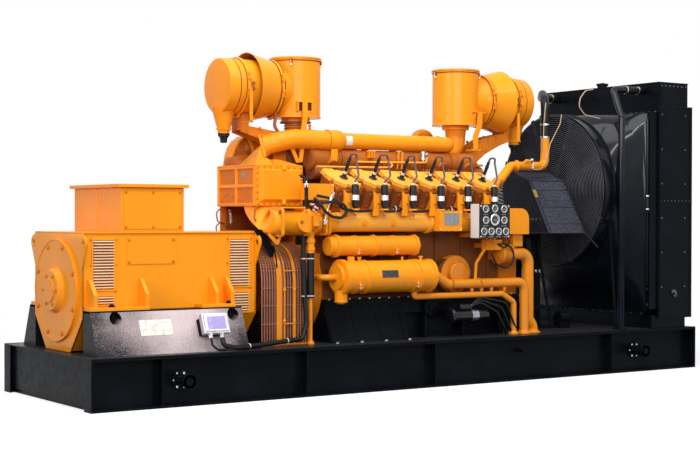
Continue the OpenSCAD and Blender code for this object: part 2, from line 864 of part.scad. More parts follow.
module intercooler_stand() {
  r = flywheel_d / 2;
  z0 = shaft_h + r + seat_gap;
  y1 = cooler_w / 2 - stand_inset;
  color("darkorange") {
    block([cooler_x + stand_inset, y1 - stand_t, z0], [engine_x - 5, y1, cooler_foot]);
    block([flywheel_x0 + 5, -y1, z0], [engine_x - 5, -y1 + stand_t, cooler_foot]);
    block([cooler_x + stand_inset, -y1, z0], [engine_x - 5, y1, z0 + stand_inset]);
    difference() {
      block([flywheel_x0 + 5, -y1, shaft_h + 0.6 * r], [engine_x - 5, y1, z0 + 1]);
      rod_x(flywheel_x0, engine_x, 0, shaft_h, r + seat_gap);
    }
  }
}

hood_foot_x = -1172;
hood_inner_y = 10;
hood_back_h = 48;

module hood() {
  y1 = cooler_w / 2 - stand_inset;
  base_t = 4;
  hull() {
    block([cooler_x + stand_inset, hood_inner_y, cooler_top], [hood_foot_x, y1, cooler_top + base_t]);
    on_hood_flange() block([-4, -hood_w / 2 + 10, -hood_w / 2 + 10], [0, hood_w / 2 - 10, hood_w / 2 - 10]);
  }
  on_hood_flange() block([-1, -hood_w / 2, -hood_w / 2], [hood_flange_t, hood_w / 2, hood_w / 2]);
  slab_y(charge_y - hood_w / 2, y1, [[hood_foot_x - 60, cooler_top], [cooler_x1 - stand_inset, cooler_top],
    [cooler_x1 - stand_inset, cooler_top + base_t], [hood_foot_x - 10, cooler_top + hood_back_h],
    [hood_foot_x - 60, cooler_top + hood_back_h]]);
}

module intercooler_hoods() {
  color(amber) both_sides() hood();
}

throttle_x0 = -1283;
throttle_x1 = -818;
duct_drop = 6;

// Flange on the intake line, cut back where the crankcase and the heads pass it
module intake_flange(x0, x1, r) {
  grown = head_w / 2 + seat_gap;
  difference() {
    rod_x(x0, x1, intake_y, intake_h, r);
    slab_x(x0 - 1, x1 + 1, [[0, case_bottom], [case_w + seat_gap, case_bottom],
      [case_w + seat_gap, shoulder_z], bank(deck_d, deck_half + seat_gap), bank(deck_d, grown),
      bank(deck_d + head_h, grown), bank(deck_d + head_h, 0)]);
  }
}

module throttle_duct() {
  y = -intake_y;
  z = intake_h + 8;
  r = intake_r;
  color(amber) {
    hull() {
      block([cooler_x + 40, -cooler_w / 2 + 40, cooler_foot - duct_drop],
        [cooler_x1 - 150, -90, cooler_foot]);
      rod_x(throttle_x0 - 4, throttle_x0, y, z, r + 10);
    }
    rod_x(throttle_x0 - 1, throttle_x0 + 30, y, z, r + 24);
    rod_x(throttle_x0 + 29, throttle_x0 + 230, y, intake_h, r);
    rod_x(throttle_x0 + 229, throttle_x0 + 260, y, intake_h, r + 12);
    rod_x(throttle_x0 + 259, throttle_x1 - 25, y, intake_h, r - 8);
    mirror([0, 1, 0]) intake_flange(throttle_x1 - 26, throttle_x1, r + 12);
    translate([hose_pipe_x, -hose_pipe_y, drain_hose_z[1]]) {
      cylinder(h = intake_h - drain_hose_z[1], r = drain_hose_r);
      cylinder(h = 14, r = drain_hose_r + 10);
      translate([0, 0, 60]) cylinder(h = 14, r = drain_hose_r + 10);
    }
  }
}

// Casting from a head's port down to the intake manifold, with the ledge that holds a coil
module intake_runner(i) {
  low = bank(deck_d + 40, head_w / 2);
  high = bank(deck_d + head_h - 40, head_w / 2);
  half_l = 42;
  slab_x(cyl_x(i) - half_l, cyl_x(i) + half_l, [low, high, [high[0] + 40, high[1] - 20],
    [intake_y + 62, intake_h + 30], [intake_y - 30, intake_h + 40]]);
  block([cyl_x(i) - 22, intake_y + 60, coil_z - 12], [cyl_x(i) + 22, coil_y + coil_r, coil_z]);
}

intake_joint_x = [100, 130];

module intake_manifolds() {
  color(amber) both_sides() {
    rod_x(throttle_x1, cyl_x(cyl_n - 1) + 60, intake_y, intake_h, intake_r);
    intake_flange(intake_joint_x[0], intake_joint_x[1], intake_r + 14);
    for (i = [0:cyl_n - 1]) intake_runner(i);
  }
}

// ---------------------------------------------------------------- air cleaners

drum_lid_t = 14;
neck_r = 88;
neck_bend = 120;
drum_rim = 9;

module drum() {
  cylinder(h = drum_h - drum_lid_t, r = drum_r);
  translate([0, 0, drum_h - drum_lid_t]) cylinder(h = drum_lid_t, r = drum_r + drum_rim);
  cylinder(h = 12, r = drum_r + 0.5 * drum_rim);
  translate([0, 0, -35]) cylinder(h = 36, r = neck_r + 32);
}

module air_cleaner_drums() {
  color(amber) for (s = [-1, 1]) {
    translate([s * drum_x, 0, drum_foot]) drum();
    pipe([[s * drum_x, 0, drum_foot + 1], [s * drum_x, 0, turbo_z], [s * turbo_inlet_x, 0, turbo_z]],
      neck_r, neck_bend, 20);
  }
}

bowl_l = 200;
band_w = 22;

collar_x = [270, 480];
collar_t = 5;
funnel_r = [44, 105];
funnel_h = 200;
funnel_drop = 150;
valve_r = [46, 28];

// Filter about its own axis, from the drum outward along +X
module filter_body() {
  bowl_x = filter_l - bowl_l;
  rotate([0, 90, 0]) rotate_extrude() polygon([[0, drum_r - 30], [150, drum_r - 30],
    [filter_r - 12, collar_x[0] - band_w], [filter_r + 10, collar_x[0] - band_w],
    [filter_r + 10, collar_x[0]], [collar_r, collar_x[1]], [collar_r - collar_t, collar_x[1]],
    [filter_r, collar_x[0] + 30], [filter_r, bowl_x - band_w], [filter_r + 7, bowl_x - band_w],
    [filter_r + 7, bowl_x], [filter_r, bowl_x], [filter_r, filter_l - 6],
    [filter_r - 6, filter_l], [0, filter_l]]);
  translate([filter_l - 62, 0, -filter_r - funnel_drop]) {
    cylinder(h = funnel_h, r1 = funnel_r[0], r2 = funnel_r[1]);
    translate([0, 0, -24]) cylinder(h = 25, r = valve_r[0]);
    translate([0, 0, -80]) cylinder(h = 57, r = valve_r[1]);
  }
}

module air_cleaner_filters() {
  color(amber) for (s = [-1, 1]) difference() {
    translate([s * drum_x, 0, filter_h]) rotate([0, 0, s > 0 ? 0 : 180]) filter_body();
    translate([s * drum_x, 0, drum_foot - 1]) cylinder(h = drum_h + 2, r = drum_r + seat_gap);
  }
}

// Arms that carry the filters at their inner bands; the left pair stands on the intercooler,
// the right pair on a bridge across the exhaust manifolds
arm_y = [58, 86];
band_x = drum_x + filter_l - bowl_l - band_w / 2;
band_z = filter_h - filter_r - 7;
arm_end_x = band_x + 27;
bridge_x = [885, 968];
bridge_top = saddle_z + saddle_t;
left_foot_x = [990, 1100];
left_arm = [[left_foot_x[0], cooler_top], [left_foot_x[1], cooler_top], [1120, turbo_z],
  [1190, turbo_z + 43], [arm_end_x, turbo_z + 108], [arm_end_x, turbo_z + 167],
  [1070, turbo_z + 120], [left_foot_x[0], turbo_z + 95]];
right_arm = [[bridge_x[0], bridge_top - 1], [985, bridge_top - 1], [1115, turbo_z - 5],
  [1275, turbo_z + 73], [arm_end_x, turbo_z + 120], [arm_end_x, turbo_z + 200],
  [1300, turbo_z + 180], [1130, turbo_z + 145], [1010, turbo_z + 81], [940, turbo_z],
  [bridge_x[0], turbo_z - 45]];

module arm_pair(outline, foot) {
  both_sides() slab_y(arm_y[0], arm_y[1], outline);
  block([foot[0], -arm_y[1], foot[2]], [foot[1], arm_y[1], foot[2] + saddle_t]);
  difference() {
    block([band_x - 35, -arm_y[1], turbo_z + 125], [arm_end_x, arm_y[1], band_z + 24]);
    rod_x(band_x - 60, band_x + 60, 0, filter_h, filter_r + 7 + seat_gap);
  }
}

module air_cleaner_arms() {
  color("darkorange") {
    mirror([1, 0, 0]) arm_pair(left_arm, [left_foot_x[0], left_foot_x[1], cooler_top]);
    arm_pair(right_arm, [bridge_x[0], bridge_x[1], saddle_z]);
    block([bridge_x[0], -saddle_half_w, saddle_z], [bridge_x[1], saddle_half_w, bridge_top]);
  }
}

// ---------------------------------------------------------------- coolers and pipes

oil_cooler_x = [-885, -30];
cooler_foot_x = 200;

module oil_cooler() {
  y = -oil_cooler_y;
  z = oil_cooler_h;
  r = oil_cooler_r;
  x0 = oil_cooler_x[0];
  x1 = oil_cooler_x[1];
  color(amber) {
    rod_x(x0, x1, y, z, r);
    rod_x(x0 + 45, x0 + 75, y, z, r + 12);
    rod_x(x0 + 420, x0 + 442, y, z, r + 7);
    rod_x(x1 - 22, x1, y, z, r + 7);
    for (x = [x0 + cooler_foot_x, x1 - cooler_foot_x])
      block([x - 30, y, z - 25], [x + 30, -case_w, z + 25]);
  }
}

exchanger_x = [-850, 95];
exchanger_neck = 31;
drain_elbow_r = 52;
drain_elbow_l = 60;
riser_r = 30;

module heat_exchanger() {
  y = -exchanger_y;
  z = exchanger_h;
  r = exchanger_r;
  x0 = exchanger_x[0];
  x1 = exchanger_x[1];
  color(amber) {
    rod_x(x0 + exchanger_neck - 1, x1 - 12, y, z, r);
    rod_x(x0, x0 + exchanger_neck, y, z, r - 28);
    rod_x(x0 + 40, x0 + 66, y, z, r + 14);
    rod_x(x0 + 250, x0 + 276, y, z, r + 7);
    rod_x(x1 - 175, x1 - 150, y, z, r + 8);
    rod_x(x1 - 36, x1 - 10, y, z, r + 8);
    rod_x(x1 - 13, x1, y, z, water_r + 12);
    for (x = [x0 + 263, x1 - 162]) block([x - 30, y, z - 30], [x + 30, -case_w, z + 30]);
    translate([x0 + 150, y, z]) cylinder(h = oil_cooler_h - oil_cooler_r - z - 5, r = riser_r);
    translate([x0 + drain_elbow_r + 4, y, z - r - drain_elbow_l])
      cylinder(h = drain_elbow_l + 30, r = drain_elbow_r);
  }
}

pump_x = 975;
pump_y = 560;
pump_z = shaft_h + 240;
return_x = 1130;
return_drop = 78;
pump_pipe_x = 1215;
drain_x = 1010;
hose_pipe_x = -1042;
hose_pipe_y = 545;
hose_pipe_r = 16;
inlet_bend_x = -955;
inlet_r = 26;

module water_pipes() {
  y = -exchanger_y;
  x1 = exchanger_x[1];
  z = exchanger_h;
  z_low = z - exchanger_r - 45;
  inlet_end = sqrt(pow(flywheel_d / 2, 2) - pow(z - inlet_r - shaft_h, 2)) + seat_gap;
  color(amber) {
    pipe([[x1, y, z], [x1 + 60, y, z], [x1 + 190, y, z - return_drop],
      [return_x, y, z - return_drop], [return_x, y, deck_z]], water_r, 70);
    pipe([[pump_x, -pump_y, pump_z], [pump_pipe_x, -pump_y, pump_z], [pump_pipe_x, -pump_y, 500],
      [pump_pipe_x + 50, -pump_y, 440], [pump_pipe_x + 50, -pump_y, deck_z]], water_r + 12, 60);
    pipe([[x1 - 162, y, z - exchanger_r - 8], [x1 - 162, y, z_low], [880, y, z_low],
      [drain_x, y, z_low - 75], [drain_x, y, deck_z]], drain_pipe_r, 36, 10);
    pipe([[exchanger_x[0], y, z], [inlet_bend_x, y, z], [inlet_bend_x, -inlet_end, z]],
      inlet_r, 60, 12);
    translate([hose_pipe_x, -hose_pipe_y, deck_z]) cylinder(h = drain_hose_z[0] - deck_z, r = hose_pipe_r);
  }
}

module starter_motor() {
  motor_y = -610;
  motor_z = 560;
  color("black") {
    rod_x(330, 720, motor_y, motor_z, 46);
    rod_x(300, 331, motor_y + 10, motor_z + 10, 68);
    block([360, motor_y + 40, motor_z - 25], [560, -bed_w + plinth_inset, motor_z + 25]);
  }
}

gear_x1 = engine_x1 + 190;
gear_w = 430;
gear_top_w = 330;
gear_shoulder = shaft_h + 345;
gear_top = shaft_h + 565;

module gear_case() {
  color("darkorange") {
    slab_x(engine_x1, gear_x1, [[-gear_w, case_bottom], [gear_w, case_bottom], [gear_w, gear_shoulder],
      [gear_top_w, gear_top], [-gear_top_w, gear_top], [-gear_w, gear_shoulder]]);
    rod_x(pump_x - 110, pump_x, -pump_y, pump_z, 88);
    block([pump_x - 90, -pump_y, pump_z - 50], [pump_x - 20, -case_w, pump_z + 50]);
  }
}

panel_x = [453, 781];
panel_z = [shaft_h + 382, shaft_h + 667];
panel_y = [-822, -703];
panel_arm_h = 45;

module instrument_panel() {
  color("dimgray") {
    block([panel_x[0], panel_y[0], panel_z[0]], [panel_x[1], panel_y[1], panel_z[1]]);
    block([panel_x[0] + 120, panel_y[1] - 1, panel_z[0] + 3],
      [panel_x[0] + 200, -case_w, panel_z[0] + panel_arm_h]);
  }
}

// Boxes on the near side of the engine
speed_box = [[135, -690, shaft_h + 441], [375, -614, shaft_h + 610]];
ignition_box = [[-1090, -560, shaft_h + 690], [-830, -470, shaft_h + 820]];
sensor_box = [[690, -640, shaft_h + 277], [850, -560, shaft_h + 365]];
end_cover = [[910, -650, shaft_h + 412], [1150, -492, shaft_h + 635]];
speed_bar_x = [200, 260];
sensor_bar_x = [740, 800];
box_bar_h = 40;
end_cover_bend = 90;

module rounded_cover(a, b, r) {
  translate([0, b.y, 0]) rotate([90, 0, 0]) linear_extrude(b.y - a.y) {
    translate([a.x, a.z]) square([b.x - a.x, b.z - a.z - r]);
    translate([a.x, a.z]) square([b.x - a.x - r, b.z - a.z]);
    translate([b.x - r, b.z - r]) circle(r);
  }
}

module control_boxes() {
  post_y = [-545, -515];
  duct_top = intake_h + intake_r - 8 + seat_gap;
  color(amber) {
    block(speed_box[0], speed_box[1]);
    block([speed_bar_x[0], speed_box[1].y - 1, intake_h - box_bar_h / 2],
      [speed_bar_x[1], -intake_y - intake_r - seat_gap, intake_h + box_bar_h / 2]);
    block(ignition_box[0], ignition_box[1]);
    block([-930, post_y[0], duct_top], [-880, post_y[1], ignition_box[0].z + 1]);
    block(sensor_box[0], sensor_box[1]);
    block([sensor_bar_x[0], sensor_box[1].y - 1, sensor_box[0].z + 18],
      [sensor_bar_x[1], -case_w, sensor_box[0].z + 18 + box_bar_h]);
    rounded_cover(end_cover[0], end_cover[1], end_cover_bend);
    block([1010, -600, pump_z + 65], [1120, -gear_w, end_cover[0].z + 1]);
  }
}

// ---------------------------------------------------------------- hoses beside the coupling guard

drain_hose_z = [shaft_h - 85, shaft_h + 270];
drain_hose_r = 28;
cable_r = 19;
gland_x = junction_x + 0.68 * junction_l;
gland_mid = (junction_t + junction_base_t) / 2;
gland_tip = [gland_x,
  (junction_z - deck_z) * tan(pedestal_lean) - seat_foot
    - gland_mid * cos(pedestal_lean) - gland_l * sin(pedestal_lean),
  junction_z + gland_mid * sin(pedestal_lean) - gland_l * cos(pedestal_lean)];
gland_way = [0, -sin(pedestal_lean), -cos(pedestal_lean)];

module guard_hoses() {
  cable_top = intake_h - intake_r - cable_r - seat_gap;
  color("black") {
    pipe([[-1150, -intake_y, cable_top], [-1107, -intake_y - 5, cable_top],
      [-1107, -guard_half_w - 50, 820], [-1092, -guard_half_w - 68, 560],
      [-1140, -guard_half_w - 80, 430], [-1560, -guard_half_w - 150, 406],
      [-1840, -760, 404], gland_tip + 60 * gland_way, gland_tip], cable_r, 30, 10);
    translate([hose_pipe_x, -hose_pipe_y, drain_hose_z[0]])
      cylinder(h = drain_hose_z[1] - drain_hose_z[0], r = drain_hose_r);
  }
}

// ---------------------------------------------------------------- fan and radiator

fan_stand_x = [1610, 1760];
stand_half_w = 110;
shaft_r = 40;
hub_r = 120;
hub_half_l = 50;
fan_mid_x = fan_x + 90;
guard_arm_z = [1440, 1490];

belt_x = [1515, 1950];
belt_z = [1252, 1725];
belt_half = [500, 225];
belt_crown = 90;
belt_t = 4;

// Half width of the belt guard at height z
function belt_half_at(z) =
  belt_half[0] + (belt_half[1] - belt_half[0]) * (z - belt_z[0]) / (belt_z[1] - belt_z[0]);

module fan_stand() {
  foot_h = 30;
  arm = [for (z = guard_arm_z) belt_half_at(z) - belt_t - seat_gap];
  color(black) {
    block([fan_stand_x[0], -stand_half_w, deck_z], [fan_stand_x[1], stand_half_w, fan_z + 90]);
    block([fan_stand_x[0] - 120, -260, deck_z], [fan_stand_x[1] + 60, 260, deck_z + foot_h]);
    slab_x(fan_stand_x[0] + 40, fan_stand_x[0] + 100, [[-arm[0], guard_arm_z[0]], [arm[0], guard_arm_z[0]],
      [arm[1], guard_arm_z[1]], [-arm[1], guard_arm_z[1]]]);
    rod_x(fan_stand_x[0] - 60, fan_mid_x + hub_half_l, 0, fan_z, shaft_r);
    rod_x(fan_stand_x[0] - 60, fan_stand_x[0] - 10, 0, fan_z, 110);
  }
}

module belt_guard() {
  t = belt_t;
  inner = [belt_half[0] - t, belt_half[1] - t];
  color(black) difference() {
    slab_x(belt_x[0], belt_x[1], [[-belt_half[0], belt_z[0]], [belt_half[0], belt_z[0]],
      [belt_half[1], belt_z[1]], [0, belt_z[1] + belt_crown], [-belt_half[1], belt_z[1]]]);
    slab_x(belt_x[0] + t, belt_x[1] + 1, [[-inner[0], belt_z[0]], [-inner[0] - 1, belt_z[0] - 2],
      [inner[0] + 1, belt_z[0] - 2], [inner[0], belt_z[0]], [inner[1], belt_z[1]],
      [0, belt_z[1] + belt_crown - t], [-inner[1], belt_z[1]]]);
  }
}

ring_l = 130;
ring_t = 6;
blade_w = 190;
blade_t = 8;
blade_pitch = 35;

module fan() {
  blade_l = fan_r - ring_t - tip_gap - hub_r;
  color(black) translate([fan_mid_x, 0, fan_z]) difference() {
    union() {
      rod_x(-hub_half_l, hub_half_l, 0, 0, hub_r);
      for (i = [0:blade_n - 1]) rotate([i * 360 / blade_n, 0, 0]) translate([0, 0, hub_r - 10])
        rotate([0, 0, blade_pitch])
          block([-blade_t / 2, -blade_w / 2, 0], [blade_t / 2, blade_w / 2, blade_l]);
    }
    rod_x(-hub_half_l - 1, hub_half_l + 1, 0, 0, shaft_r + seat_gap);
  }
}

guard_ring_n = 8;
guard_bar = 8;
guard_eye_r = 150;
spoke_n = 8;

module guard_ring(r) {
  difference() {
    rod_x(0, guard_bar, 0, 0, r);
    rod_x(-1, guard_bar + 1, 0, 0, r - guard_bar);
  }
}

module fan_guard() {
  step = (fan_r - guard_eye_r) / guard_ring_n;
  half = guard_bar / 2;
  color(black) translate([fan_x - guard_bar, 0, fan_z]) {
    for (i = [0:guard_ring_n]) guard_ring(guard_eye_r + i * step);
    for (i = [0:spoke_n - 1]) rotate([(i + 0.5) * 360 / spoke_n, 0, 0])
      block([1, -half, guard_eye_r - half], [guard_bar - 1, half, fan_r - half]);
  }
}

shroud_edge = 38;

// Form that blends the round ring into the rectangle of the core, drawn over past both faces
module shroud_form(shrink, over) {
  x0 = fan_x + ring_l + seat_gap;
  hull() {
    rod_x(x0 - over, x0 + 1, 0, fan_z, fan_r - shrink);
    block([rad_x - 2, -rad_w / 2 + shroud_edge + shrink, rad_z + 20 + shrink],
      [rad_x + over, rad_w / 2 - shroud_edge - shrink, rad_z + rad_h - 15 - shrink]);
  }
}

module fan_shroud() {
  color(black) {
    difference() {
      rod_x(fan_x, fan_x + ring_l, 0, fan_z, fan_r);
      rod_x(fan_x - 1, fan_x + ring_l + 1, 0, fan_z, fan_r - ring_t);
    }
    difference() {
      shroud_form(0, 0);
      shroud_form(ring_t, 1);
    }
  }
}

core_wall = 60;
panel_x0 = rad_x + 96;
tank_x0 = rad_x + 112;
rad_x1 = rad_x + rad_t;

module radiator_core() {
  color("black") block([rad_x + 20, -rad_w / 2 + core_wall, rad_z + core_wall],
    [rad_x1 - 20, rad_w / 2 - core_wall, rad_z + rad_h]);
}

module radiator_frame() {
  half_w = rad_w / 2;
  color(black) {
    both_sides() {
      block([rad_x, half_w - core_wall, rad_z], [rad_x1, half_w, rad_z + rad_h]);
      block([panel_x0, half_w, rad_z - 30], [rad_x1 + 45, half_w + side_t, rad_z + rad_h + 60]);
    }
    block([rad_x, -half_w, rad_z], [rad_x1, half_w, rad_z + core_wall]);
    block([rad_x + 30, -half_w, deck_z], [rad_x1 - 20, half_w, rad_z + 1]);
  }
}

fill_neck_r = 48;

module radiator_tank() {
  z0 = rad_z + rad_h;
  color(black) {
    block([tank_x0, -rad_w / 2, z0], [rad_x1, rad_w / 2, z0 + tank_h]);
    translate([tank_x0 + 60, 0, z0 + tank_h]) cylinder(h = 28, r = fill_neck_r);
  }
}

coolant_r = 44;
vent_r = 12;
bypass_r = 30;

module coolant_pipes() {
  tank_z = rad_z + rad_h + 206;
  outlet = bank(deck_d + outlet_l, 0);
  elbow = bank(deck_d + outlet_l + 90, 0);
  vent_x = rad_x - vent_r - seat_gap;
  color(black) {
    pipe([[tank_x0, 600, tank_z + 4], [2400, 600, tank_z + 4], [1765, -150, 2370],
      [1722, -200, 2140], [1716, -200, 2020], [1660, -210, 1950], [1240, -340, shaft_h + 1023],
      [outlet_x + 70, -420, shaft_h + 945], [outlet_x, -elbow[0], elbow[1]],
      [outlet_x, -outlet[0], outlet[1]]], coolant_r, 40);
    pipe([[tank_x0, -606, tank_z], [2190, -606, tank_z], [2150, -760, 2300],
      [2150, -760, deck_z]], bypass_r, 50);
    pipe([[vent_x, -778, 2290], [vent_x, -778, 780]], vent_r, 20, 10);
  }
}

skid_rails();
skid_beams();
deck_plate();
drain_stubs();
alternator_pedestals();
alternator_frame();
alternator_end_plates();
alternator_feet();
alternator_end_cover();
alternator_covers();
terminal_box();
terminal_box_lid();
junction_box();
coupling();
coupling_guard();
flywheel_housing();
engine_bed();
crankcase();
cylinder_heads();
head_covers();
ignition_coils();
plug_leads();
exhaust_manifolds();
turbochargers();
charge_pipes();
intercooler();
intercooler_stand();
intercooler_hoods();
throttle_duct();
intake_manifolds();
air_cleaner_drums();
air_cleaner_filters();
air_cleaner_arms();
oil_cooler();
heat_exchanger();
water_pipes();
starter_motor();
gear_case();
instrument_panel();
control_boxes();
guard_hoses();
fan_stand();
belt_guard();
fan();
fan_guard();
fan_shroud();
radiator_core();
radiator_frame();
radiator_tank();
coolant_pipes();
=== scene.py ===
"""Looks of the gas generator set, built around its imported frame. Lengths are in metres."""

import itertools
from math import acos, atan2, copysign, cos, pi, radians, sin, tan

import bmesh
import bpy
from mathutils import Matrix, Quaternion, Vector


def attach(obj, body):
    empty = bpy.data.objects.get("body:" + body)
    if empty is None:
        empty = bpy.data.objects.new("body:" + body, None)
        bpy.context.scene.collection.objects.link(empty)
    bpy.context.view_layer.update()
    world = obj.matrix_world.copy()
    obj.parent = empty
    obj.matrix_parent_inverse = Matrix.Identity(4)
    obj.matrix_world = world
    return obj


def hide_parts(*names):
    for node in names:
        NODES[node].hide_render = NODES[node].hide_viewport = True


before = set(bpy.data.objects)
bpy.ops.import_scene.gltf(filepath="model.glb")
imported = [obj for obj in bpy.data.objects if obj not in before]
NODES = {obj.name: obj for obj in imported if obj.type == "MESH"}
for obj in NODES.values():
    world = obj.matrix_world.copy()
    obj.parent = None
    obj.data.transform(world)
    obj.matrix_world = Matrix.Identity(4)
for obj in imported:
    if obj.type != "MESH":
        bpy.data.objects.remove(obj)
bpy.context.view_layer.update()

X, Y, Z = Vector((1, 0, 0)), Vector((0, 1, 0)), Vector((0, 0, 1))
SIDES = NEAR, FAR = -1, 1
WORLD_LIGHT = 0.4
FLOOR_GREY, FLOOR_ALBEDO, FLOOR_GLOW = 0.14, 0.5, 0.62
FLOOR_FADE = (3.6, 7.0)
CAMERA_PLACE, CAMERA_LENS, CAMERA_SENSOR = (-7.407, -10.436, 1.37), 76.25, 36
CAMERA_TURN = {"yaw": 55.72, "pitch": 0.54, "roll": -0.14}


# ---------------------------------------------------------------- camera and stage


def make_camera():
    """The photograph's viewpoint: off the alternator's corner, a little below eye height."""
    yaw, pitch, roll = (radians(angle) for angle in CAMERA_TURN.values())
    ahead = Vector((cos(yaw) * cos(pitch), sin(yaw) * cos(pitch), -sin(pitch)))
    data = bpy.data.cameras.new("camera")
    camera = bpy.data.objects.new("camera", data)
    bpy.context.scene.collection.objects.link(camera)
    camera.location = CAMERA_PLACE
    camera.rotation_mode = "QUATERNION"
    camera.rotation_quaternion = ahead.to_track_quat("-Z", "Y") @ Quaternion((0, 0, 1), -roll)
    data.sensor_width, data.lens, data.clip_end = CAMERA_SENSOR, CAMERA_LENS, 200
    bpy.context.scene.camera = camera


def seen_directly(tree):
    """1 for rays that show the background: camera, mirror and glass rays; 0 for rays that light."""
    path = tree.nodes.new("ShaderNodeLightPath")
    value = path.outputs["Is Camera Ray"]
    for ray in ("Is Glossy Ray", "Is Transmission Ray"):
        most = tree.nodes.new("ShaderNodeMath")
        most.operation = "MAXIMUM"
        tree.links.new(value, most.inputs[0])
        tree.links.new(path.outputs[ray], most.inputs[1])
        value = most.outputs[0]
    return value


def make_world():
    """White behind the object, and a weaker white light from all round."""
    world = bpy.data.worlds.new("studio")
    world.use_nodes = True
    tree = world.node_tree
    background = tree.nodes["Background"]
    strength = tree.nodes.new("ShaderNodeMapRange")
    tree.links.new(seen_directly(tree), strength.inputs["Value"])
    strength.inputs["To Min"].default_value = WORLD_LIGHT
    strength.inputs["To Max"].default_value = 1.0
    tree.links.new(strength.outputs["Result"], background.inputs["Strength"])
    background.inputs["Color"].default_value = (1, 1, 1, 1)
    bpy.context.scene.world = world


def make_floor():
    """Grey to the light that reaches the object. Seen, it is white and still takes the shadow."""
    s = Shader("floor", Roughness=1, Specular_IOR_Level=0, Emission_Color=(1, 1, 1, 1))
    s.material.cycles.emission_sampling = "NONE"
    distance = s.node("VectorMath", operation="LENGTH")
    s.link(s.place, distance.inputs[0])
    away, smooth = distance.outputs["Value"], {"interpolation_type": "SMOOTHSTEP"}
    albedo = s.between(away, *FLOOR_FADE, FLOOR_ALBEDO, 0.0, **smooth)
    glow = s.between(away, *FLOOR_FADE, FLOOR_GLOW, 1.0, **smooth)
    seen = seen_directly(s.tree)
    s.colour(s.mix(seen, (FLOOR_GREY,) * 3, albedo))
    s.link(s.maths("MULTIPLY", seen, glow), s.bsdf.inputs["Emission Strength"])
    bpy.ops.mesh.primitive_plane_add(size=120, location=(0, 0, 0))
    floor = bpy.context.object
    floor.name = "floor"
    floor.data.materials.append(s.material)


def make_lamp(name, place, target, size, power):
    """Rectangular lamp at place that faces target."""
    data = bpy.data.lights.new(name, "AREA")
    data.shape = "RECTANGLE"
    data.size, data.size_y = size
    data.energy = power
    lamp = bpy.data.objects.new(name, data)
    bpy.context.scene.collection.objects.link(lamp)
    lamp.location = place
    lamp.rotation_euler = (Vector(target) - Vector(place)).to_track_quat("-Z", "Y").to_euler()


# ---------------------------------------------------------------- materials


class Shader:
    """A node material built from short calls."""

    def __init__(self, name, **sockets):
        self.material = bpy.data.materials.new(name)
        self.material.use_nodes = True
        self.tree = self.material.node_tree
        self.bsdf = self.tree.nodes["Principled BSDF"]
        for socket, value in sockets.items():
            self.bsdf.inputs[socket.replace("_", " ")].default_value = value
        self.place = self.tree.nodes.new("ShaderNodeTexCoord").outputs["Object"]

    def node(self, kind, **values):
        """Adds a node; a value goes to the property of its name, or else to that socket."""
        made = self.tree.nodes.new("ShaderNode" + kind)
        for key, value in values.items():
            if key in made.bl_rna.properties:
                setattr(made, key, value)
            else:
                made.inputs[key.replace("_", " ")].default_value = value
        return made

    def link(self, source, target):
        self.tree.links.new(source, target)

    def noise(self, scale, detail=3.0, stretch=(1, 1, 1), rough=0.5):
        """Noise over the surface, squeezed by stretch; its value lies about 0.5."""
        move = self.node("Mapping")
        move.inputs["Scale"].default_value = stretch
        self.link(self.place, move.inputs["Vector"])
        made = self.node("TexNoise", Scale=scale, Detail=detail, Roughness=rough)
        self.link(move.outputs[0], made.inputs["Vector"])
        return made.outputs[0]

    def between(self, value, low, high, to_low=0.0, to_high=1.0, **more):
        """Carries value from the range low to high over to the other range, and holds it beyond."""
        made = self.node("MapRange", From_Min=low, From_Max=high, To_Min=to_low, To_Max=to_high, **more)
        self.link(value, made.inputs["Value"])
        return made.outputs["Result"]

    def maths(self, operation, a, b):
        """Result of an operation on a and b, each of which is a number or a socket."""
        made = self.node("Math", operation=operation)
        for socket, value in zip(made.inputs, (a, b)):
            if isinstance(value, (int, float)):
                socket.default_value = value
            else:
                self.link(value, socket)
        return made.outputs[0]

    def mix(self, factor, a, b):
        """Colour a where factor is 0 and b where it is 1; each is a colour or a socket."""
        made = self.node("Mix", data_type="RGBA")
        self.link(factor, made.inputs["Factor"])
        for socket, value in ((made.inputs["A"], a), (made.inputs["B"], b)):
            if isinstance(value, tuple):
                socket.default_value = (*value, 1)
            else:
                self.link(value, socket)
        return made.outputs["Result"]

    def part(self, vector, axis):
        """One of a vector's three parts."""
        split = self.node("SeparateXYZ")
        self.link(vector, split.inputs[0])
        return split.outputs[axis]

    def along(self, axis):
        """Place along one axis of the frame, in metres."""
        return self.part(self.place, axis)

    def facing_up(self):
        """1 where the surface faces up, 0 where it is upright."""
        return self.part(self.node("NewGeometry").outputs["Normal"], "Z")

    def colour(self, value):
        self.link(value, self.bsdf.inputs["Base Color"])

    def roughness(self, value):
        self.link(value, self.bsdf.inputs["Roughness"])

    def bump(self, height, distance):
        """Adds a bump over those already there."""
        made = self.node("Bump", Strength=1.0, Distance=distance)
        self.link(height, made.inputs["Height"])
        below = self.bsdf.inputs["Normal"]
        if below.is_linked:
            self.link(below.links[0].from_socket, made.inputs["Normal"])
        self.link(made.outputs[0], below)


GRIME, OIL = (0.16, 0.06, 0.02), (0.1, 0.035, 0.012)
SPECK, DUST = (0.05, 0.05, 0.055), (0.3, 0.27, 0.26)
ORANGE_PEEL = 0.00025


def tint(colour, by):
    """Colour times a number, held at 1."""
    return tuple(min(1.0, c * by) for c in colour)


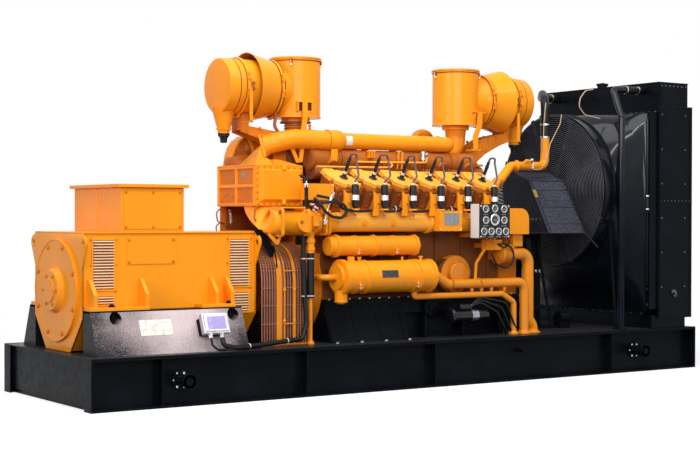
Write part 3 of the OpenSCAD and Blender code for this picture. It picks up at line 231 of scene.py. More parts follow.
def gloss_paint(name, colour, rough=0.24, dirt=0.5, spec=0.16):
    """Sprayed gloss paint: faint clouds in its colour, orange peel, streaks and specks of grime."""
    s = Shader(name, Coat_Weight=0.03, Coat_Roughness=0.06, Specular_IOR_Level=spec)
    clouds = s.between(s.noise(2.2, 4), 0.3, 0.7)
    body = s.mix(clouds, tint(colour, 0.93), tint(colour, 1.03))
    streaks = s.between(s.noise(9, 5, (1, 1, 0.25)), 0.62, 0.82, 0.0, dirt * 0.35)
    specks = s.between(s.noise(160, 2), 0.7, 0.78, 0.0, dirt * 0.5)
    s.colour(s.mix(s.maths("MAXIMUM", streaks, specks), body, GRIME))
    s.roughness(s.between(s.noise(14, 4), 0.3, 0.7, rough - 0.05, rough + 0.1))
    s.bump(s.noise(55, 2), ORANGE_PEEL)
    s.bump(s.noise(420, 2), ORANGE_PEEL * 0.3)
    return s.material


def cast_paint(name, colour, rough=0.42, grain=0.0008):
    """Thinner paint over a sand casting: the grain shows, with patches of oil."""
    s = Shader(name, Coat_Weight=0.02, Coat_Roughness=0.12, Specular_IOR_Level=0.14)
    clouds = s.between(s.noise(5, 5), 0.3, 0.7)
    body = s.mix(clouds, tint(colour, 0.82), tint(colour, 1.08))
    oil = s.between(s.noise(16, 6, rough=0.65), 0.54, 0.72, 0.0, 0.55)
    s.colour(s.mix(oil, body, OIL))
    s.roughness(s.between(s.noise(22, 3), 0.3, 0.7, rough - 0.12, rough + 0.12))
    s.bump(s.noise(240, 3), grain * 0.5)
    s.bump(s.noise(30, 3), grain)
    return s.material


def black_paint(name, colour=(0.0025, 0.0035, 0.005), rough=0.28, dents=0.0015, spec=0.04, dust=0.0):
    """Black gloss over rolled steel: shallow dents, fine specks, and dust where it faces up."""
    s = Shader(name, Specular_IOR_Level=spec)
    clouds = s.between(s.noise(3.5, 5), 0.35, 0.7)
    body = s.mix(clouds, colour, tint(colour, 1.9))
    specks = s.between(s.noise(190, 3, rough=0.7), 0.66, 0.76, 0.0, 0.35)
    body = s.mix(specks, body, SPECK)
    if dust:
        patches = s.between(s.noise(24, 6, rough=0.7), 0.3, 0.7, 0.25, 1.0)
        film = s.maths("MULTIPLY", s.between(s.facing_up(), 0.15, 0.9, 0.0, dust), patches)
        body = s.mix(film, body, DUST)
    s.colour(body)
    s.roughness(s.between(s.noise(18, 4), 0.3, 0.7, rough - 0.1, rough + 0.15))
    s.bump(s.noise(7, 3), dents)
    s.bump(s.noise(320, 3), 0.0002)
    return s.material


def form_paint(name):
    """Black gloss on pressed sheet: dented, shiny above and duller near the deck."""
    s = Shader(name, Specular_IOR_Level=0.05, Coat_Roughness=0.1)
    body = s.mix(s.between(s.noise(3.5, 5), 0.35, 0.7), (0.002, 0.003, 0.006), (0.006, 0.008, 0.014))
    s.colour(body)
    s.link(s.between(s.along("Z"), 1.2, 2.2, 0.03, 0.5), s.bsdf.inputs["Coat Weight"])
    s.roughness(s.between(s.noise(18, 4), 0.3, 0.7, 0.25, 0.45))
    s.bump(s.noise(9, 3, (1, 1, 0.5)), 0.006)
    return s.material


def mesh_zinc(name):
    """Fine perforated sheet in blue-grey zinc: the holes show as dark grains."""
    s = Shader(name, Specular_IOR_Level=0.2, Roughness=0.5)
    grains = s.between(s.noise(105, 3, rough=0.7), 0.4, 0.6)
    clouds = s.between(s.noise(3, 3), 0.3, 0.7)
    s.colour(s.mix(grains, (0.02, 0.021, 0.03), s.mix(clouds, (0.085, 0.088, 0.118),
        (0.145, 0.15, 0.195))))
    s.bump(grains, 0.001)
    return s.material


def pedestal_sheen_paint(name):
    """Black gloss whose sloping sides carry a painted pale speckled reflection, strongest along the
    middle and fading towards the ends and the deck.
    """
    s = Shader(name, Coat_Roughness=0.15, Specular_IOR_Level=0.08)
    grains = s.between(s.noise(95, 6, rough=0.75), 0.38, 0.62)
    patches = s.between(s.noise(5, 5), 0.3, 0.62, -0.1, 0.08)
    slope = s.between(s.facing_up(), 0.1, 0.3)
    s.link(s.maths("MULTIPLY", slope, 0.3), s.bsdf.inputs["Coat Weight"])
    # Strength of the painted reflection: strongest between x -2.3 and -2.02, fainter towards the ends
    # and the deck.
    rise = s.between(s.along("X"), -2.9, -2.3, 0.12, 0.92)
    fall = s.between(s.along("X"), -2.02, -1.74, 0.96, 0.22)
    low = s.between(s.along("Z"), 0.4, 0.56, 0.24, 0.0)
    level = s.maths("SUBTRACT", s.maths("MINIMUM", rise, fall), low)
    level = s.maths("ADD", level, patches)
    speckled = s.maths("ADD", level, s.between(grains, 0.0, 1.0, -0.16, 0.16))
    # The painted reflection shows on the sloping faces only.
    pale = s.maths("MULTIPLY", s.between(speckled, 0.0, 1.0), slope)
    s.colour(s.mix(pale, (0.012, 0.011, 0.013), (0.66, 0.54, 0.55)))
    s.roughness(s.between(s.noise(40, 4), 0.3, 0.7, 0.2, 0.42))
    s.bump(s.noise(130, 4, rough=0.7), 0.0008)
    return s.material


def moulded(name, colour, rough, grain=0.0002, spec=0.5):
    """Rubber or moulded plastic with a fine grain and faint scuffs."""
    s = Shader(name, Specular_IOR_Level=spec)
    scuffs = s.between(s.noise(60, 5, (1, 1, 0.4), 0.7), 0.55, 0.8, 0.0, 0.5)
    s.colour(s.mix(scuffs, colour, tuple(c * 1.6 + 0.008 for c in colour)))
    s.roughness(s.between(s.noise(30, 3), 0.3, 0.7, rough - 0.1, rough + 0.1))
    s.bump(s.noise(500, 2), grain)
    return s.material


def metal(name, colour, rough):
    """Bare or plated metal with fine marks and small stains."""
    s = Shader(name, Metallic=1.0)
    marks = s.noise(90, 3)
    stains = s.between(s.noise(25, 5), 0.55, 0.75, 0.0, 0.6)
    body = s.mix(s.between(marks, 0.3, 0.7), tint(colour, 0.85), tint(colour, 1.1))
    s.colour(s.mix(stains, body, tint(colour, 0.55)))
    s.roughness(s.between(marks, 0.3, 0.7, rough - 0.08, rough + 0.12))
    s.bump(marks, 0.0001)
    return s.material


def label_face(name, colour, line, rows, wide=(1, 1, 1)):
    """A bare plate with faint smudged bands and no lettering."""
    s = Shader(name, Roughness=0.4)
    bands = s.between(s.noise(rows, 2, wide), 0.5, 0.66, 0.0, 0.6)
    s.colour(s.mix(bands, colour, line))
    s.bump(s.noise(300, 2), 0.0001)
    return s.material


AMBER = (0.92, 0.315, 0.01)
FINISHES = {
    "amber_paint": {
        "amber": gloss_paint("amber_gloss", AMBER),
        # Paler amber: painted highlight where light falls on tops, with heavier grime.
        "amber_pale": gloss_paint("amber_highlit_grimy", (0.95, 0.42, 0.045), 0.3, dirt=0.9, spec=0.25),
        "amber_deep": gloss_paint("amber_shaded", (0.8, 0.262, 0.008), 0.18, dirt=0.8, spec=0.3),
        # Near-white amber: painted highlight on louvre slats and lid hooks.
        "amber_light": gloss_paint("amber_painted_glint", (0.94, 0.6, 0.32), 0.3, dirt=0.4, spec=0.25),
    },
    "casting_paint": {
        # Darkened amber: painted shade for parts in shadow, over real casting grain and oil; darker
        # still for heads and crankcase.
        "amber_dark": cast_paint("amber_shaded_casting", (0.66, 0.19, 0.01)),
        "head_shaded_cast": cast_paint("head_shaded_casting", (0.3, 0.085, 0.018), 0.45, 0.001),
        "case_shaded_cast": cast_paint("case_shaded_casting", (0.185, 0.06, 0.012), 0.5, 0.0012),
        "louvre_dark": cast_paint("louvre_shaded", (0.22, 0.095, 0.07), 0.6, 0.0004),
        # Dark brown: painted shadow lines and painted shade in recesses.
        "shadow_brown": cast_paint("painted_shadow_brown", (0.085, 0.022, 0.012), 0.6, 0.0004),
    },
    "exhaust_paint": {
        "manifold": cast_paint("manifold_paint", (0.46, 0.125, 0.016), 0.4, 0.001),
        "exhaust": cast_paint("exhaust_casting", (0.36, 0.115, 0.035), 0.6, 0.0012),
    },
    "guard_paint": {
        "copper": cast_paint("guard_wire_paint", (0.43, 0.165, 0.08), 0.45, 0.0002),
        "violet_wire": cast_paint("guard_wire_shaded", (0.115, 0.055, 0.06), 0.5, 0.0002),
    },
    "black_paint": {
        "black": black_paint("black_gloss"),
        "black_dusty": black_paint("black_deck", rough=0.32, dust=0.1),
        "black_shiny": black_paint("black_radiator", (0.0018, 0.0026, 0.0045), 0.3, 0.0015, 0.06),
        "black_form": form_paint("black_shroud"),
        "wire_grey": black_paint("fan_wire_grey", (0.078, 0.08, 0.094), 0.35, 0.0002, 0.15),
        "wire_dark": black_paint("mesh_dark", (0.016, 0.017, 0.023), 0.4, 0.0002, 0.12),
        "wire_blue": mesh_zinc("belt_guard_zinc"),
        # Black with a painted pale reflection on its sloping sides.
        "pedestal": pedestal_sheen_paint("black_painted_sheen"),
    },
    "black_rubber": {
        "rubber": moulded("black_rubber", (0.005, 0.005, 0.006), 0.42, 0.0002, 0.22),
        "coral": moulded("coral_plug", (0.65, 0.13, 0.05), 0.4),
        "lilac_lead": moulded("lilac_lead", (0.09, 0.055, 0.068), 0.35),
    },
    "black_plastic": {
        "plastic": moulded("black_plastic", (0.005, 0.005, 0.007), 0.28, 0.0001, 0.32),
        "yellow_wire": moulded("yellow_wire", (0.5, 0.35, 0.22), 0.5),
    },
    "cast_aluminium": {
        "steel": metal("bright_steel", (0.62, 0.62, 0.63), 0.28),
        "aluminium": metal("cast_aluminium", (0.58, 0.58, 0.61), 0.42),
        "band": metal("coil_band", (0.8, 0.78, 0.78), 0.3),
        "starter_band": metal("starter_band", (0.34, 0.35, 0.42), 0.35),
    },
    "core_fins": {
        "core": cast_paint("radiator_fins", (0.012, 0.013, 0.015), 0.5, 0.0004),
    },
    "panel_paint": {
        "white": moulded("white_enamel", (0.72, 0.7, 0.68), 0.35),
        "pale_plate": label_face("pale_plate", (0.76, 0.74, 0.67), (0.5, 0.47, 0.44), 30, (1, 1, 2)),
        "lavender_plate": label_face("lavender_plate", (0.36, 0.3, 0.62), (0.62, 0.5, 0.66), 26,
            (1, 1, 2)),
        "grey_plate": label_face("grey_plate", (0.22, 0.23, 0.24), (0.32, 0.33, 0.34), 40),
        "dark_plate": label_face("dark_plate", (0.016, 0.016, 0.018), (0.16, 0.15, 0.14), 46,
            (1, 1, 2)),
        "panel_black": moulded("panel_black", (0.005, 0.005, 0.006), 0.35, 0.0001, 0.3),
        "yellow_mark": moulded("yellow_mark", (0.55, 0.42, 0.1), 0.5),
    },
}
MATERIALS = {finish: made for group in FINISHES.values() for finish, made in group.items()}


# ---------------------------------------------------------------- mesh building


def basis(axis):
    """Rotation whose Z is along axis."""
    return Vector(axis).to_track_quat("Z", "Y").to_matrix().to_4x4()


def arc_corner(a, b, c, bend, steps):
    """Points that round the corner b of the line a-b-c."""
    u, w = (a - b).normalized(), (c - b).normalized()
    half = acos(max(-1.0, min(1.0, u.dot(w)))) / 2
    if half > pi / 2 - 1e-3:
        return [b]
    reach = min(bend / tan(half), 0.49 * (a - b).length, 0.49 * (c - b).length)
    radius = reach * tan(half)
    middle = b + (u + w).normalized() * (radius / sin(half))
    start, stop = b + u * reach - middle, b + w * reach - middle
    e0 = start.normalized()
    e1 = (stop - e0 * stop.dot(e0)).normalized()
    sweep = pi - 2 * half
    angles = [sweep * i / steps for i in range(steps + 1)]
    return [middle + radius * (cos(t) * e0 + sin(t) * e1) for t in angles]


def turns(count):
    """Angles of a full turn in equal steps."""
    return [2 * pi * k / count for k in range(count)]


def rounded(route, bend, steps):
    """Route whose inner corners are arcs of radius bend, or less where there is no room."""
    route = [Vector(p) for p in route]
    inner = [p for a, b, c in zip(route, route[1:], route[2:])
        for p in arc_corner(a, b, c, bend, steps)]
    return [route[0], *inner, route[-1]]


class Piece:
    """Solids gathered into one mesh, which becomes one piece of the scene."""

    every = []  # in the order in which they are begun

    def __init__(self, name, finish, bevel=0.0, replaces="", smooth=35, segments=2, weld=0.0):
        self.points, self.faces = [], []
        self.name, self.finish, self.replaces = name, finish, replaces
        self.bevel, self.segments, self.smooth, self.weld = bevel, segments, smooth, weld
        Piece.every.append(self)

    def add(self, points, faces, place=None):
        """Adds points, moved by place, and the faces between them."""
        base = len(self.points)
        self.points += [place @ Vector(p) if place else Vector(p) for p in points]
        self.faces += [[base + i for i in face] for face in faces]

    def skin(self, rows, place=None, loop=False):
        """Joins closed sections of equal length; the ends are capped, or joined to each other."""
        n, count = len(rows[0]), len(rows)
        faces = [(i * n + k, i * n + (k + 1) % n, j * n + (k + 1) % n, j * n + k)
                 for i, j in zip(range(count), [*range(1, count), 0]) if loop or j for k in range(n)]
        if not loop:
            faces += [tuple(range(n))[::-1], tuple(range((count - 1) * n, count * n))]
        self.add([p for row in rows for p in row], faces, place)

    def box(self, low, high, place=None):
        """Block between two opposite corners, given in any order."""
        (x0, x1), (y0, y1), (z0, z1) = (sorted(pair) for pair in zip(low, high))
        corners = [(x, y, z) for z in (z0, z1) for y in (y0, y1) for x in (x0, x1)]
        self.add(corners, [(0, 2, 3, 1), (4, 5, 7, 6), (0, 1, 5, 4), (2, 6, 7, 3), (0, 4, 6, 2),
            (1, 3, 7, 5)], place)

    def lathe(self, profile, start, axis, sides=32, closed=False):
        """Turns a profile of (distance along, radius) about the axis; open ends are capped."""
        place = Matrix.Translation(Vector(start)) @ basis(axis)
        rows = [[(r * cos(a), r * sin(a), h) for a in turns(sides)] for h, r in profile]
        self.skin(rows, place, closed)

    def rod(self, start, end, r, sides=24):
        """Straight round bar."""
        start, end = Vector(start), Vector(end)
        length = (end - start).length
        self.lathe([(0, r), (length, r)], start, end - start, sides)

    def ring(self, centre, axis, r, thick, wide, sides=48):
        """Flat band about an axis: outer radius r, thick inward, wide along the axis."""
        self.lathe([(-wide / 2, r - thick), (-wide / 2, r), (wide / 2, r), (wide / 2, r - thick)],
            centre, axis, sides, closed=True)

    def tube(self, route, r, sides=12, loop=False):
        """Round bar of radius r (a number, or one for each point) swept along the points."""
        route = [Vector(p) for p in route]
        n = len(route)
        radii = [r] * n if isinstance(r, (int, float)) else list(r)
        ahead = [(route[(i + 1) % n] - route[i]).normalized() for i in range(n if loop else n - 1)]
        if loop:
            along = [(ahead[i - 1] + ahead[i]).normalized() for i in range(n)]
        else:
            along = [ahead[0], *[(a + b).normalized() for a, b in zip(ahead, ahead[1:])], ahead[-1]]
        side = along[0].orthogonal().normalized()
        rows = []
        for p, t, radius in zip(route, along, radii):
            side = (side - t * side.dot(t)).normalized()
            other = t.cross(side)
            rows.append([p + radius * (cos(a) * side + sin(a) * other) for a in turns(sides)])
        self.skin(rows, loop=loop)

    def pipe(self, route, r, bend, sides=20, steps=8):
        """Round bar along the points, with its corners rounded to the radius bend."""
        self.tube(rounded(route, bend, steps), r, sides)

    def plate(self, outline, thick, place):
        """Outline in the X-Y plane of place, drawn out along its Z."""
        self.skin([[(x, y, z) for x, y in outline] for z in (0, thick)], place)

    def slab_x(self, outline, x0, x1):
        """Outline of (y, z) points drawn out along X between x0 and x1."""
        self.plate(outline, x1 - x0, Matrix(((0, 0, 1, x0), (1, 0, 0, 0), (0, 1, 0, 0), (0, 0, 0, 1))))

    def slab_y(self, outline, y0, y1):
        """Outline of (x, z) points drawn out along Y between y0 and y1, in any order."""
        y0, y1 = sorted((y0, y1))
        self.plate(outline, y1 - y0, Matrix(((1, 0, 0, 0), (0, 0, 1, y0), (0, 1, 0, 0), (0, 0, 0, 1))))

    def frame(self, low, high, bar):
        """Flat rim of width bar about an opening that faces along Y."""
        (x0, y0, z0), (x1, y1, z1) = low, high
        self.box((x0, y0, z1 - bar), (x1, y1, z1))
        self.box((x0, y0, z0), (x1, y1, z0 + bar))
        self.box((x0, y0, z0 + bar), (x0 + bar, y1, z1 - bar))
        self.box((x1 - bar, y0, z0 + bar), (x1, y1, z1 - bar))

    def mirror(self):
        """Repeats everything so far on the far side."""
        self.add([(x, -y, z) for x, y, z in self.points], [face[::-1] for face in self.faces])

    def bolt(self, place, axis, r=0.011):
        """Hexagon head with a chamfered top, on a washer."""
        axis = Vector(axis).normalized()
        place = Vector(place)
        self.lathe([(-0.001, r * 1.45), (r * 0.22, r * 1.45)], place, axis, 12)
        self.lathe([(0, r), (r * 0.75, r), (r * 0.95, r * 0.8)], place, axis, 6)

    def bolt_ring(self, centre, axis, radius, count, r=0.011, turn=0.0):
        """Bolts in equal steps on a circle about the axis."""
        centre, place = Vector(centre), basis(axis)
        for a in turns(count):
            self.bolt(centre + place @ Vector((radius * cos(turn + a), radius * sin(turn + a), 0)),
                axis, r)

    def bolt_grid(self, xs, ys, zs, axis, r):
        """Bolts at every crossing of the places; a number stands for one place."""
        xs, ys, zs = ((v,) if isinstance(v, (int, float)) else v for v in (xs, ys, zs))
        for place in itertools.product(xs, ys, zs):
            self.bolt(place, axis, r)

    def make(self):
        """Makes the scene's mesh from the gathered solids."""
        mesh = bpy.data.meshes.new(self.name)
        mesh.from_pydata(self.points, [], self.faces)
        work = bmesh.new()
        work.from_mesh(mesh)
        bmesh.ops.recalc_face_normals(work, faces=work.faces)
        work.to_mesh(mesh)
        work.free()
        mesh.shade_smooth()
        mesh.set_sharp_from_angle(angle=radians(self.smooth))
        made = bpy.data.objects.new(self.name, mesh)
        bpy.context.scene.collection.objects.link(made)
        mesh.materials.append(MATERIALS[self.finish])
        if self.bevel:
            soften(made, self.bevel, self.segments, 40).harden_normals = True
        if self.weld:
            made.modifiers.new("weld", "WELD").merge_threshold = self.weld
        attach(made, "root")
        if self.replaces:
            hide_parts(self.replaces)


def soften(item, width, segments, angle):
    """Bevels the edges sharper than angle."""
    edge = item.modifiers.new("edges", "BEVEL")
    edge.width, edge.segments, edge.limit_method = width, segments, "ANGLE"
    edge.angle_limit = radians(angle)
    return edge


def dress(node, material, bevel):
    """Gives a CAD node its material and soft edges."""
    item = NODES[node]
    item.data.materials.clear()
    item.data.materials.append(MATERIALS[material])
    item.modifiers.new("weld", "WELD").merge_threshold = WELD_REACH
    if bevel:
        soften(item, bevel, 2, 35).use_clamp_overlap = True
    item.modifiers.new("shading", "WEIGHTED_NORMAL").keep_sharp = False


DRESS = {
    "amber": """alternator_frame alternator_end_plates alternator_feet alternator_end_cover
        alternator_covers terminal_box terminal_box_lid intercooler intercooler_hoods throttle_duct
        charge_pipes air_cleaner_drums air_cleaner_filters oil_cooler heat_exchanger water_pipes
        control_boxes head_covers""",
    # Parts in shadow take the darkened amber, the heads and crankcase darker still, as painted shade.
    "amber_dark": "flywheel_housing intercooler_stand gear_case air_cleaner_arms",
    "head_shaded_cast": "cylinder_heads",
    "case_shaded_cast": "crankcase",
    # The intake manifolds take the paler amber as a painted highlight.
    "amber_pale": "intake_manifolds",
    "exhaust": "coupling exhaust_manifolds turbochargers",
    "copper": "coupling_guard",
    "black": """skid_rails skid_beams drain_stubs engine_bed starter_motor fan_stand fan fan_guard
        instrument_panel""",
    "black_dusty": "deck_plate",
    "pedestal": "alternator_pedestals",
    "black_shiny": "radiator_frame radiator_tank coolant_pipes",
    "black_form": "fan_shroud",
    "core": "radiator_core",
    "wire_blue": "belt_guard",
    "rubber": "guard_hoses plug_leads",
    "plastic": "ignition_coils",
    "aluminium": "junction_box",
}

SHARP = ("alternator_end_plates",)
CAD_BEVEL, WELD_REACH = 0.003, 0.00002

make_camera()
make_world()
make_floor()
make_lamp("sky_panel", (-1.5, -1.0, 7.5), (0, 0, 0.8), (9, 4), 385)
make_lamp("side_panel", (-4.5, -9.5, 4.2), (0, 0, 1.0), (7, 3), 450)
make_lamp("end_panel", (-9.5, -3.0, 3.6), (0, 0, 1.0), (4, 3), 222)
make_lamp("strip", (-1.0, -4.5, 6.5), (0, 0, 1.6), (10, 0.4), 225)
for finish, nodes in DRESS.items():
    for node in nodes.split():
        dress(node, finish, 0 if node in SHARP else CAD_BEVEL)


# ---------------------------------------------------------------- alternator

ALT_X, ALT_END, ALT_Y = -2.95, -1.474, 0.427
SHAFT_Z, DECK_Z = 0.835, 0.38
BOX_FACE = 0.42
PEDESTAL_FOOT, PEDESTAL_LEAN = -0.69, atan2(0.69 - 0.56, 0.7 - DECK_Z)


def on_pedestal(x, z):
    """Frame on the near pedestal's sloping side: X along it and Z up the slope."""
    place = Matrix.Translation((x, PEDESTAL_FOOT + (z - DECK_Z) * tan(PEDESTAL_LEAN), z))
    return place @ Matrix.Rotation(-PEDESTAL_LEAN, 4, "X")


def louvre(rims, slats, gaps, x0, x1, z0, z1):
    """Pressed slats over a dark opening, with a rim around them."""
    rim, pitch = 0.014, 0.0212
    rims.frame((x0 - rim, -ALT_Y - 0.007, z0 - rim), (x1 + rim, -ALT_Y, z1 + rim), rim)
    gaps.box((x0, -ALT_Y - 0.0012, z0), (x1, -ALT_Y, z1))
    count = round((z1 - z0) / pitch)
    step = (z1 - z0) / count
    for i in range(count):
        z = z0 + i * step
        slats.slab_x([(-ALT_Y - 0.001, z + 0.8 * step), (-ALT_Y - 0.013, z + 0.48 * step),
            (-ALT_Y - 0.013, z + 0.36 * step), (-ALT_Y - 0.001, z + 0.6 * step)], x0, x1)


def alternator_covers():
    """Louvres, flat covers and their bolts on both sides."""
    rims = Piece("louvre_rims", "amber", 0.002, replaces="alternator_covers")
    # Slats in near-white amber: painted highlight; the dark gap sheets behind them: painted shade.
    slats = Piece("louvre_slats", "amber_light", replaces="alternator_covers")
    gaps = Piece("louvre_gaps", "louvre_dark", replaces="alternator_covers")
    covers = Piece("side_covers", "amber", 0.002, replaces="alternator_covers")
    bolts = Piece("side_cover_bolts", "amber_dark", replaces="alternator_covers")
    high, low = (0.853, 1.214), 0.8
    spans = ((-2.857, -2.693), (-1.712, -1.545))
    for x0, x1 in spans:
        louvre(rims, slats, gaps, x0, x1, *high)
        bolts.bolt_grid((x0 - 0.018, x1 + 0.018), -ALT_Y - 0.001,
            (high[0] - 0.016, 1.03, high[1] + 0.004), -Y, 0.0065)
    louvre(rims, slats, gaps, -2.843, -2.693, 0.742, low)
    louvre(rims, slats, gaps, -1.685, -1.545, 0.655, low)
    covers.box((-2.587, -ALT_Y - 0.006, 1.033), (-2.187, -ALT_Y, 1.23))
    covers.box((-2.61, -BOX_FACE - 0.006, 1.295), (-2.126, -BOX_FACE, 1.585))
    bolts.bolt_grid((-2.571, -2.203), -ALT_Y - 0.006, (1.049, 1.215), -Y, 0.008)
    bolts.bolt_grid((-2.593, -2.368, -2.143), -BOX_FACE - 0.006, (1.311, 1.569), -Y, 0.008)
    for piece in (rims, slats, gaps, covers, bolts):
        piece.mirror()


def alternator_ends():
    """Bolts of the rear cover and its hub, the joints of the frame's end plates, and a black sheet of
    painted shade below the drive end.
    """
    bolts = Piece("end_cover_bolts", "amber_dark")
    bolts.bolt_ring((-2.97, 0, SHAFT_Z), -X, 0.345, 8, 0.014, pi / 8)
    bolts.bolt_ring((-3.015, 0, SHAFT_Z), -X, 0.118, 6, 0.011)
    rims = Piece("end_plate_rims", "amber", 0.002)
    rims.ring((-2.972, 0, SHAFT_Z), X, 0.385, 0.008, 0.006, 64)
    for side in SIDES:
        for x in (ALT_X + 0.0075, ALT_END - 0.0075):
            rims.ring((x, side * 0.465, 1.192), X, 0.034, 0.011, 0.021, 28)
    # Black sheet below the drive end: painted shade in the gap there.
    dark_fill = Piece("drive_end_painted_shade", "black", 0.001)
    dark_fill.box((ALT_END + 0.004, -0.498, DECK_Z), (ALT_END + 0.012, 0.498, 0.655))


def alternator_seats():
    """Hold-down bolts of the feet, the bolts in the keyholes and the pedestals' top plates."""
    bolts = Piece("foot_bolts", "black")
    plates = Piece("pedestal_top_plates", "black", 0.002)
    pale = Piece("pedestal_plate", "pale_plate", 0.001)
    nuts = Piece("foot_nuts", "amber_dark")
    for x in (-2.75, -1.77):
        bolts.rod((x, -0.52, 0.615), (x, -0.52, 0.745), 0.013)
        bolts.bolt((x, -0.52, 0.726), Z, 0.021)
        bolts.bolt((x, -0.52, 0.672), -Z, 0.021)
    nuts.bolt_grid((-2.82, -2.56, -1.95), -0.515, 0.726, Z, 0.01)
    plates.box((-2.942, -0.564, 0.683), (-1.684, -0.448, 0.7003))
    bolts.mirror()
    nuts.mirror()
    plates.mirror()
    pale.box((0, -0.0025, 0), (0.265, 0.001, 0.122), on_pedestal(-2.569, 0.514))
    bars = Piece("pedestal_anchor_bolts", "steel")
    for side in SIDES:
        bars.bolt_grid((-2.9, -2.31, -1.73), side * 0.672, DECK_Z + 0.001, Z, 0.012)


def junction_box():
    """Cast lid on a dark base, with a bare face plate, screws and two cable glands."""
    base_y, lid_y, length, height = 0.07, 0.13, 0.22, 0.158
    place = on_pedestal(-2.11, 0.478)
    base = Piece("junction_base", "black", 0.003, replaces="junction_box")
    lid = Piece("junction_lid", "aluminium", 0.006, replaces="junction_box", segments=3)
    face = Piece("junction_face", "lavender_plate")
    small = Piece("junction_screws", "steel", replaces="junction_box")
    base.box((0.014, -base_y - 0.001, 0.014), (length - 0.014, 0, height - 0.014), place)
    lid.box((0, -lid_y + 0.01, 0), (length, -base_y, height), place)
    lid.box((0.012, -lid_y, 0.012), (length - 0.012, -lid_y + 0.011, height - 0.012), place)
    face.box((0.034, -lid_y - 0.0018, 0.03), (length - 0.034, -lid_y + 0.001, height - 0.03), place)
    for x in (0.02, length - 0.02):
        for z in (0.02, height - 0.02):
            small.lathe([(0, 0.0065), (0.004, 0.0065), (0.0055, 0.004)], place @ Vector((x, -lid_y, z)),
                place.to_3x3() @ -Y, 12)
    for x in (0.055, 0.15):
        start = place @ Vector((x, -0.1, 0.001))
        down = place.to_3x3() @ -Z
        small.lathe([(0, 0.019), (0.01, 0.019), (0.011, 0.016), (0.034, 0.015)], start, down, 6)


alternator_covers()
alternator_ends()
alternator_seats()
junction_box()


# ---------------------------------------------------------------- coupling guard

GUARD_X = (-1.472, -1.032)
GUARD_R, SPRING_Z, GUARD_RISE = 0.5, 0.8, 0.385
SQUARENESS = 3.2


def arch_half(z):
    """Half width of the guard at height z: upright sides under a squarish arch."""
    rise = max(0.0, z - SPRING_Z) / GUARD_RISE
    return GUARD_R * (1 - rise ** SQUARENESS) ** (1 / SQUARENESS)


def arch_line(x, grow, steps=36):
    """Points along the guard's arch at x, from the near deck over to the far deck."""
    power = 2 / SQUARENESS
    over = []
    for i in range(steps + 1):
        c, s = cos(pi * i / steps), sin(pi * i / steps)
        y = -copysign(abs(c) ** power, c) * (GUARD_R + grow)
        over.append((x, y, SPRING_Z + max(0.0, s) ** power * (GUARD_RISE + grow)))
    return [(x, over[0][1], DECK_Z + 0.002), *over, (x, over[-1][1], DECK_Z + 0.002)]


def arch_band(piece, x0, x1, grow, thick):
    """Flat hoop between x0 and x1."""
    outer, inner = arch_line(0, grow + thick), arch_line(0, grow)
    outline = [(y, z) for _, y, z in outer] + [(y, z) for _, y, z in reversed(inner)]
    n = len(outline)
    points = [(x, y, z) for x in (x0, x1) for y, z in outline]
    half = n // 2
    faces = [(i, (i + 1) % n, n + (i + 1) % n, n + i) for i in range(n)]
    for start in (0, n):
        faces += [(start + i, start + i + 1, start + n - 2 - i, start + n - 1 - i)
            for i in range(half - 1)]
    piece.add(points, faces)


def coupling_guard():
    """Wires along and across the arch, darker wires inside them, hoops, feet and bolts."""
    wires = Piece("guard_wires", "copper", replaces="coupling_guard", smooth=60)
    dim = Piece("guard_inner_wires", "violet_wire", replaces="coupling_guard", smooth=60)
    hoops = Piece("guard_hoops", "amber_deep", 0.0015, replaces="coupling_guard")
    bolts = Piece("guard_bolts", "amber")
    count = 18
    pitch = (GUARD_X[1] - GUARD_X[0] - 0.012) / count
    for i in range(count + 1):
        wires.tube(arch_line(GUARD_X[0] + 0.006 + pitch * i, 0.003), 0.0042, 6)
    for i in range(count):
        dim.tube(arch_line(GUARD_X[0] + 0.006 + pitch * (i + 0.5), -0.004), 0.005, 6)
    for side in SIDES:
        for z in (0.548, 0.693, 0.831, 0.965):
            y = side * (arch_half(z) + 0.008)
            wires.rod((GUARD_X[0], y, z), (GUARD_X[1], y, z), 0.0032, sides=6)
    for _, y, z in arch_line(0, 0.007, 56):
        if z > 0.99 and abs(y) > 0.001:
            wires.rod((GUARD_X[0], y, z), (GUARD_X[1], y, z), 0.0034, sides=5)
    for x0, x1 in ((-1.335, -1.287), (-1.271, -1.257), (-1.188, -1.16), (-1.04, GUARD_X[1])):
        arch_band(hoops, x0, x1, 0.005, 0.007)
    for x in (-1.271, -1.188):
        arch_band(hoops, x, x + 0.005, 0.005, 0.011)
    for side in SIDES:
        y = side * 0.5125
        for z in (0.548, 0.965):
            hoops.box((-1.271, y - 0.0035, z - 0.005), (-1.16, y + 0.003, z + 0.005))
        hoops.box((GUARD_X[0], side * 0.512 - 0.004, DECK_Z),
            (GUARD_X[1], side * 0.512 + 0.004, DECK_Z + 0.012))
        for x in (-1.264, -1.174):
            for z in (0.572, 0.815):
                bolts.bolt((x, side * (arch_half(z) + 0.012), z), (0, side, 0), 0.01)


coupling_guard()


# ---------------------------------------------------------------- engine

BANK = radians(30)
CYLINDERS = [0.02 + (i - 2.5) * 0.288 for i in range(6)]
DECK, HEAD_TOP = 0.76, 0.98
COIL_Y, COIL_Z = 0.67, 1.458


def bank(along, across, side=NEAR):
    """(y, z) of a point of a bank: along it from the shaft, and across it outward."""
    y = along * sin(BANK) + across * cos(BANK)
    return side * y, SHAFT_Z + along * cos(BANK) - across * sin(BANK)


def on_bank(x, along, side=NEAR):
    """Frame on a bank: X along the engine, Z up the bank."""
    y, z = bank(along, 0, side)
    return Matrix.Translation((x, y, z)) @ Matrix.Rotation(-side * BANK, 4, "X")


